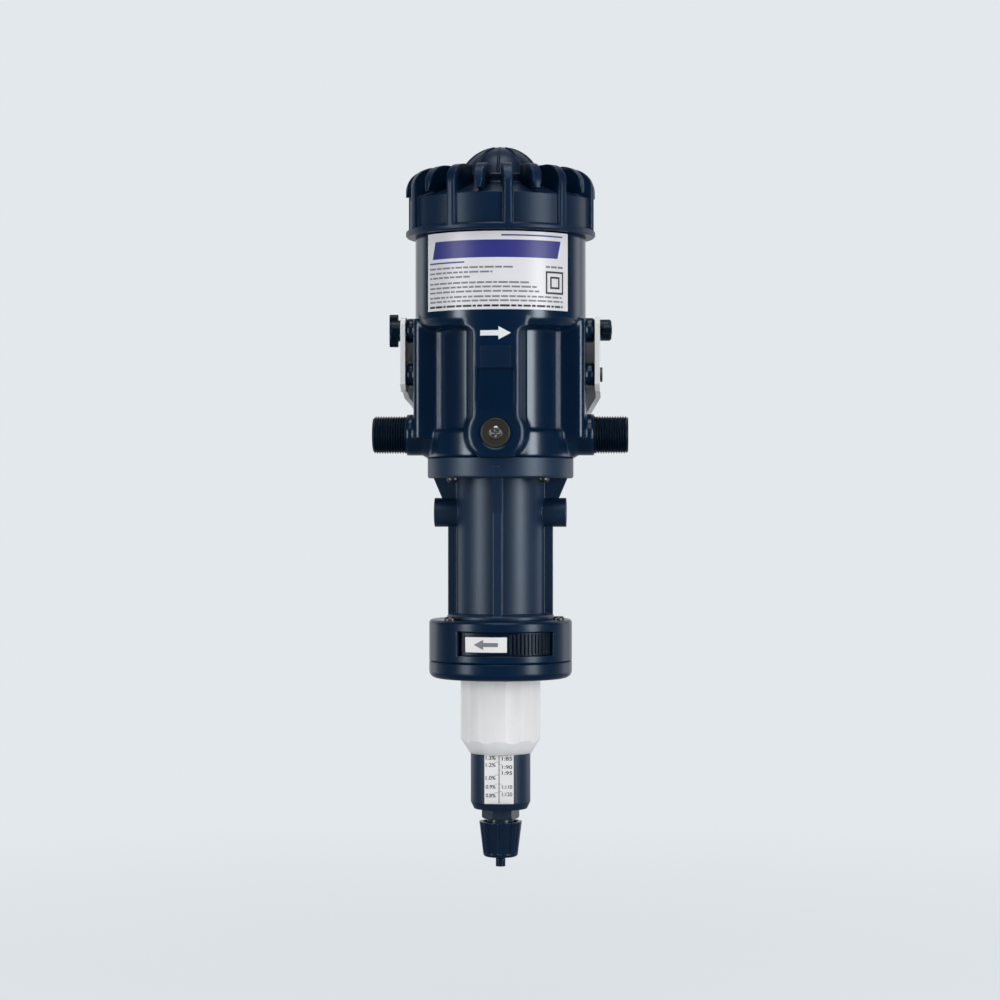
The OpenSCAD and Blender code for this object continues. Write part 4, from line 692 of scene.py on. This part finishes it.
# A dot is a low dome: its radius and height, how far it sinks in, and where it sits
DOT_RADIUS, DOT_HEIGHT, DOT_FOOT = 1.1, 0.9, -0.3
DOT_SINK, DOT_ASIDE, DOT_Z = 0.35 * MM, 1.9, 0.2805
s = np.linspace(0, 0.46 * np.pi, 8)
dot_across, dot_out = DOT_RADIUS * np.cos(s), DOT_HEIGHT * np.sin(s) + DOT_FOOT
for side, place in (("left", -DOT_ASIDE), ("right", DOT_ASIDE)):
    dot_centre = (place * MM, -FLANGE_RADIUS + DOT_SINK, DOT_Z)
    turned(dot_across, dot_out, dot_centre, grained, "flange_dot_" + side, "pump_body",
           False)
print("plug rim of radius", round(plug_radius, 2), "mm; flange radius", round(FLANGE_RADIUS / MM, 2), "mm")

# %% [markdown]
# ## Coil springs
# Two coil springs close up when a joint moves: one under the suction valve's cage, one
# behind the lock's tail. A rigid solid can't do that, so a coil of the same size takes the
# place of each. A point of the wire lies on a small circle that is carried along a helix.
# When the joints move, the poppet takes up a third of its coil's length, and the slider half of the
# other's.

# %% Coil springs
# WIRE is half the wire's thickness
COIL_TURNS, WIRE = 3, 0.5 * MM
TURN_STEPS, WIRE_STEPS = 36, 10


def coil(name, foot, out, aside, length, radius, body):
    """Reach is the coil's radius plus the wire's cosine; rise is the turn's share plus the wire's sine."""
    foot, out, aside = (np.array(v, dtype=float) for v in (foot, out, aside))
    up = np.cross(out, aside)
    turn = np.linspace(0, 2 * np.pi * COIL_TURNS, TURN_STEPS * COIL_TURNS + 1)[:, None, None]
    around = np.linspace(0, 2 * np.pi, WIRE_STEPS, endpoint=False)[None, :, None]
    reach = radius + WIRE * np.cos(around)
    rise = length * turn / (2 * np.pi * COIL_TURNS) + WIRE * np.sin(around)
    points = foot + out * np.cos(turn) * reach + aside * np.sin(turn) * reach + up * rise
    rows = points.shape[0]
    faces = grid_faces(rows, WIRE_STEPS, False, True)[:, ::-1].tolist()
    last = WIRE_STEPS * rows - 1
    faces += [list(range(WIRE_STEPS)), list(range(last, last - WIRE_STEPS, -1))]
    piece = make_piece(name, points, faces, turned_steel, body)
    piece.data.set_sharp_from_angle(angle=math.radians(50))
    return piece, up


spring_low, spring_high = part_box("suction_spring")
spring_length = spring_high.z - spring_low.z - 2 * WIRE
suction_coil, up = coil("suction_coil", (0, 0, spring_low.z + WIRE), (1, 0, 0), (0, 1, 0), spring_length,
                        (spring_high.x - spring_low.x) / 2 - WIRE, "sleeve")
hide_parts("suction_spring")
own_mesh(suction_coil)

# The lock's coil lies on a circle round the pump's axis, turned from the front to the left
LOCK_CIRCLE, LOCK_TURN, LOCK_HALF = 43.0 * MM, math.radians(-38.46), 3.24 * MM
lock_low, lock_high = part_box("lock_spring")
tangent = np.array([math.cos(LOCK_TURN), math.sin(LOCK_TURN), 0.0])
inward = np.array([-math.sin(LOCK_TURN), math.cos(LOCK_TURN), 0.0])
middle = -LOCK_CIRCLE * inward + np.array([0, 0, (lock_low.z + lock_high.z) / 2])
lock_coil, up = coil("lock_coil", middle + LOCK_HALF * tangent, (0, 0, 1), inward, 2 * LOCK_HALF,
                     (lock_high.z - lock_low.z) / 2 - WIRE, "pump_body")
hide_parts("lock_spring")
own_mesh(lock_coil)
print("coils:", round(spring_length / MM, 2), "and", round(2 * LOCK_HALF / MM, 2), "mm long")

# %% [markdown]
# ## Lamps
# The photograph tells where its lamps stood. On an upright cylinder a lamp shows as a line,
# and where the skin has turned by 28 degrees the mirror image comes from twice that, 56
# degrees aside. The bright lines on the barrel's foot give two narrow boxes, one at each side
# and not quite alike. A box high in front and one overhead fill the faces between, and two
# weak ones from behind trim the edges. All are weak enough for the white label to stay
# below white.

# %% Lights
AIM_HEIGHT = 0.27


def soft_box(name, azimuth, height, distance, width, tall, power):
    """A box at its azimuth from -Y, in degrees, tilted down by the slope to the aim height on the axis."""
    lamp = bpy.data.lights.new(name, "AREA")
    lamp.shape = "RECTANGLE"
    lamp.size, lamp.size_y = width, tall
    lamp.energy = power
    angle = math.radians(azimuth)
    box = bpy.data.objects.new(name, lamp)
    box.location = (distance * math.sin(angle), -distance * math.cos(angle), height)
    fall = math.atan2(height - AIM_HEIGHT, distance)
    box.rotation_euler = (math.pi / 2 - fall, 0.0, angle)
    bpy.context.scene.collection.objects.link(box)
    return box


# Azimuth in degrees, then height, distance, width and tallness in metres, then watts
soft_box("left_box", -53, 0.36, 1.3, 0.32, 0.84, 9.0)
soft_box("right_box", 55, 0.36, 1.3, 0.34, 0.84, 11.6)
soft_box("front_box", 6, 1.7, 1.3, 1.2, 0.8, 8.0)
soft_box("top_box", 0, 2.3, 0.25, 1.0, 1.0, 15.0)
soft_box("left_rim", -128, 0.45, 1.3, 0.35, 1.2, 1.0)
soft_box("right_rim", 128, 0.45, 1.3, 0.35, 1.2, 1.3)

# %% [markdown]
# ## Backdrop and floor
# Two things are asked of the surroundings. The camera must see an even pale grey, and the
# skin must mirror a dark room in front and that pale backdrop behind: then a face that looks
# to the front stays deep navy, and one that looks aside turns pale. Light Path tells the
# rays apart. Rays from the camera see full strength, and all others see a strength that
# rises with their direction away from the camera. The floor glows in the same way, and
# keeps a share of its real, shaded paper near the pump, which carries the shadow.

# %% World
world = bpy.data.worlds.new("studio")
world.use_nodes = True
bpy.context.scene.world = world
sky = world.node_tree
sky.nodes.clear()
PALE = linear("#E3E8EC")
direction = add(sky, "ShaderNodeTexCoord").outputs["Generated"]
apart = add(sky, "ShaderNodeSeparateXYZ", Vector=direction)
behind = add(sky, "ShaderNodeMapRange", Value=apart.outputs["Y"])
behind.inputs["From Min"].default_value = 0.35
behind.inputs["From Max"].default_value = 0.95
behind.inputs["To Min"].default_value = 0.05
behind.inputs["To Max"].default_value = 1.0
path = add(sky, "ShaderNodeLightPath")
strength = add(sky, "ShaderNodeMath", {"operation": "MAXIMUM"})
sky.links.new(behind.outputs["Result"], strength.inputs[0])
sky.links.new(path.outputs["Is Camera Ray"], strength.inputs[1])
backdrop = add(sky, "ShaderNodeBackground", Color=PALE, Strength=strength.outputs["Value"])
add(sky, "ShaderNodeOutputWorld", Surface=backdrop.outputs["Background"])
print("world:", world.name)

# %% Floor
FLOOR, FLOOR_HALF = -0.12, 6.0
corner_signs = ((-1, -1), (1, -1), (1, 1), (-1, 1))
floor_ring = np.array([[x * FLOOR_HALF, y * FLOOR_HALF, FLOOR] for x, y in corner_signs])
floor_mesh = bpy.data.meshes.new("floor")
floor_mesh.from_pydata(floor_ring, [], [[0, 1, 2, 3]])
floor = bpy.data.objects.new("floor", floor_mesh)
bpy.context.scene.collection.objects.link(floor)
paper = bpy.data.materials.new("matt_grey_paper")
paper.use_nodes = True
shade = paper.node_tree
shade.nodes.clear()
place = add(shade, "ShaderNodeTexCoord").outputs["Object"]
far = add(shade, "ShaderNodeVectorMath", {"operation": "LENGTH"}, Vector=place)
fade = add(shade, "ShaderNodeMapRange", {"interpolation_type": "SMOOTHSTEP"}, Value=far.outputs["Value"])
fade.inputs["From Min"].default_value = 0.25
fade.inputs["From Max"].default_value = 1.3
fade.inputs["To Min"].default_value = 0.85
split = add(shade, "ShaderNodeSeparateXYZ", Vector=place)
back = add(shade, "ShaderNodeMapRange", Value=split.outputs["Y"])
back.inputs["From Max"].default_value = 1.5
back.inputs["To Min"].default_value = 0.1
ray = add(shade, "ShaderNodeLightPath")
bright = add(shade, "ShaderNodeMath", {"operation": "MAXIMUM"})
shade.links.new(back.outputs["Result"], bright.inputs[0])
shade.links.new(ray.outputs["Is Camera Ray"], bright.inputs[1])
glow = add(shade, "ShaderNodeEmission", Color=PALE, Strength=bright.outputs["Value"])
seen = add(shade, "ShaderNodeMath", {"operation": "MULTIPLY"})
shade.links.new(fade.outputs["Result"], seen.inputs[0])
shade.links.new(ray.outputs["Is Camera Ray"], seen.inputs[1])
share = add(shade, "ShaderNodeMath", {"operation": "MAXIMUM"})
shade.links.new(seen.outputs["Value"], share.inputs[0])
shade.links.new(ray.outputs["Is Glossy Ray"], share.inputs[1])
grey = add(shade, "ShaderNodeBsdfDiffuse", Color=linear("#C9CED2"))
sheet = add(shade, "ShaderNodeMixShader", Fac=share.outputs["Value"])
shade.links.new(grey.outputs["BSDF"], sheet.inputs[1])
shade.links.new(glow.outputs["Emission"], sheet.inputs[2])
add(shade, "ShaderNodeOutputMaterial", Surface=sheet.outputs["Shader"])
floor_mesh.materials.append(paper)
print("floor at", FLOOR, "m")
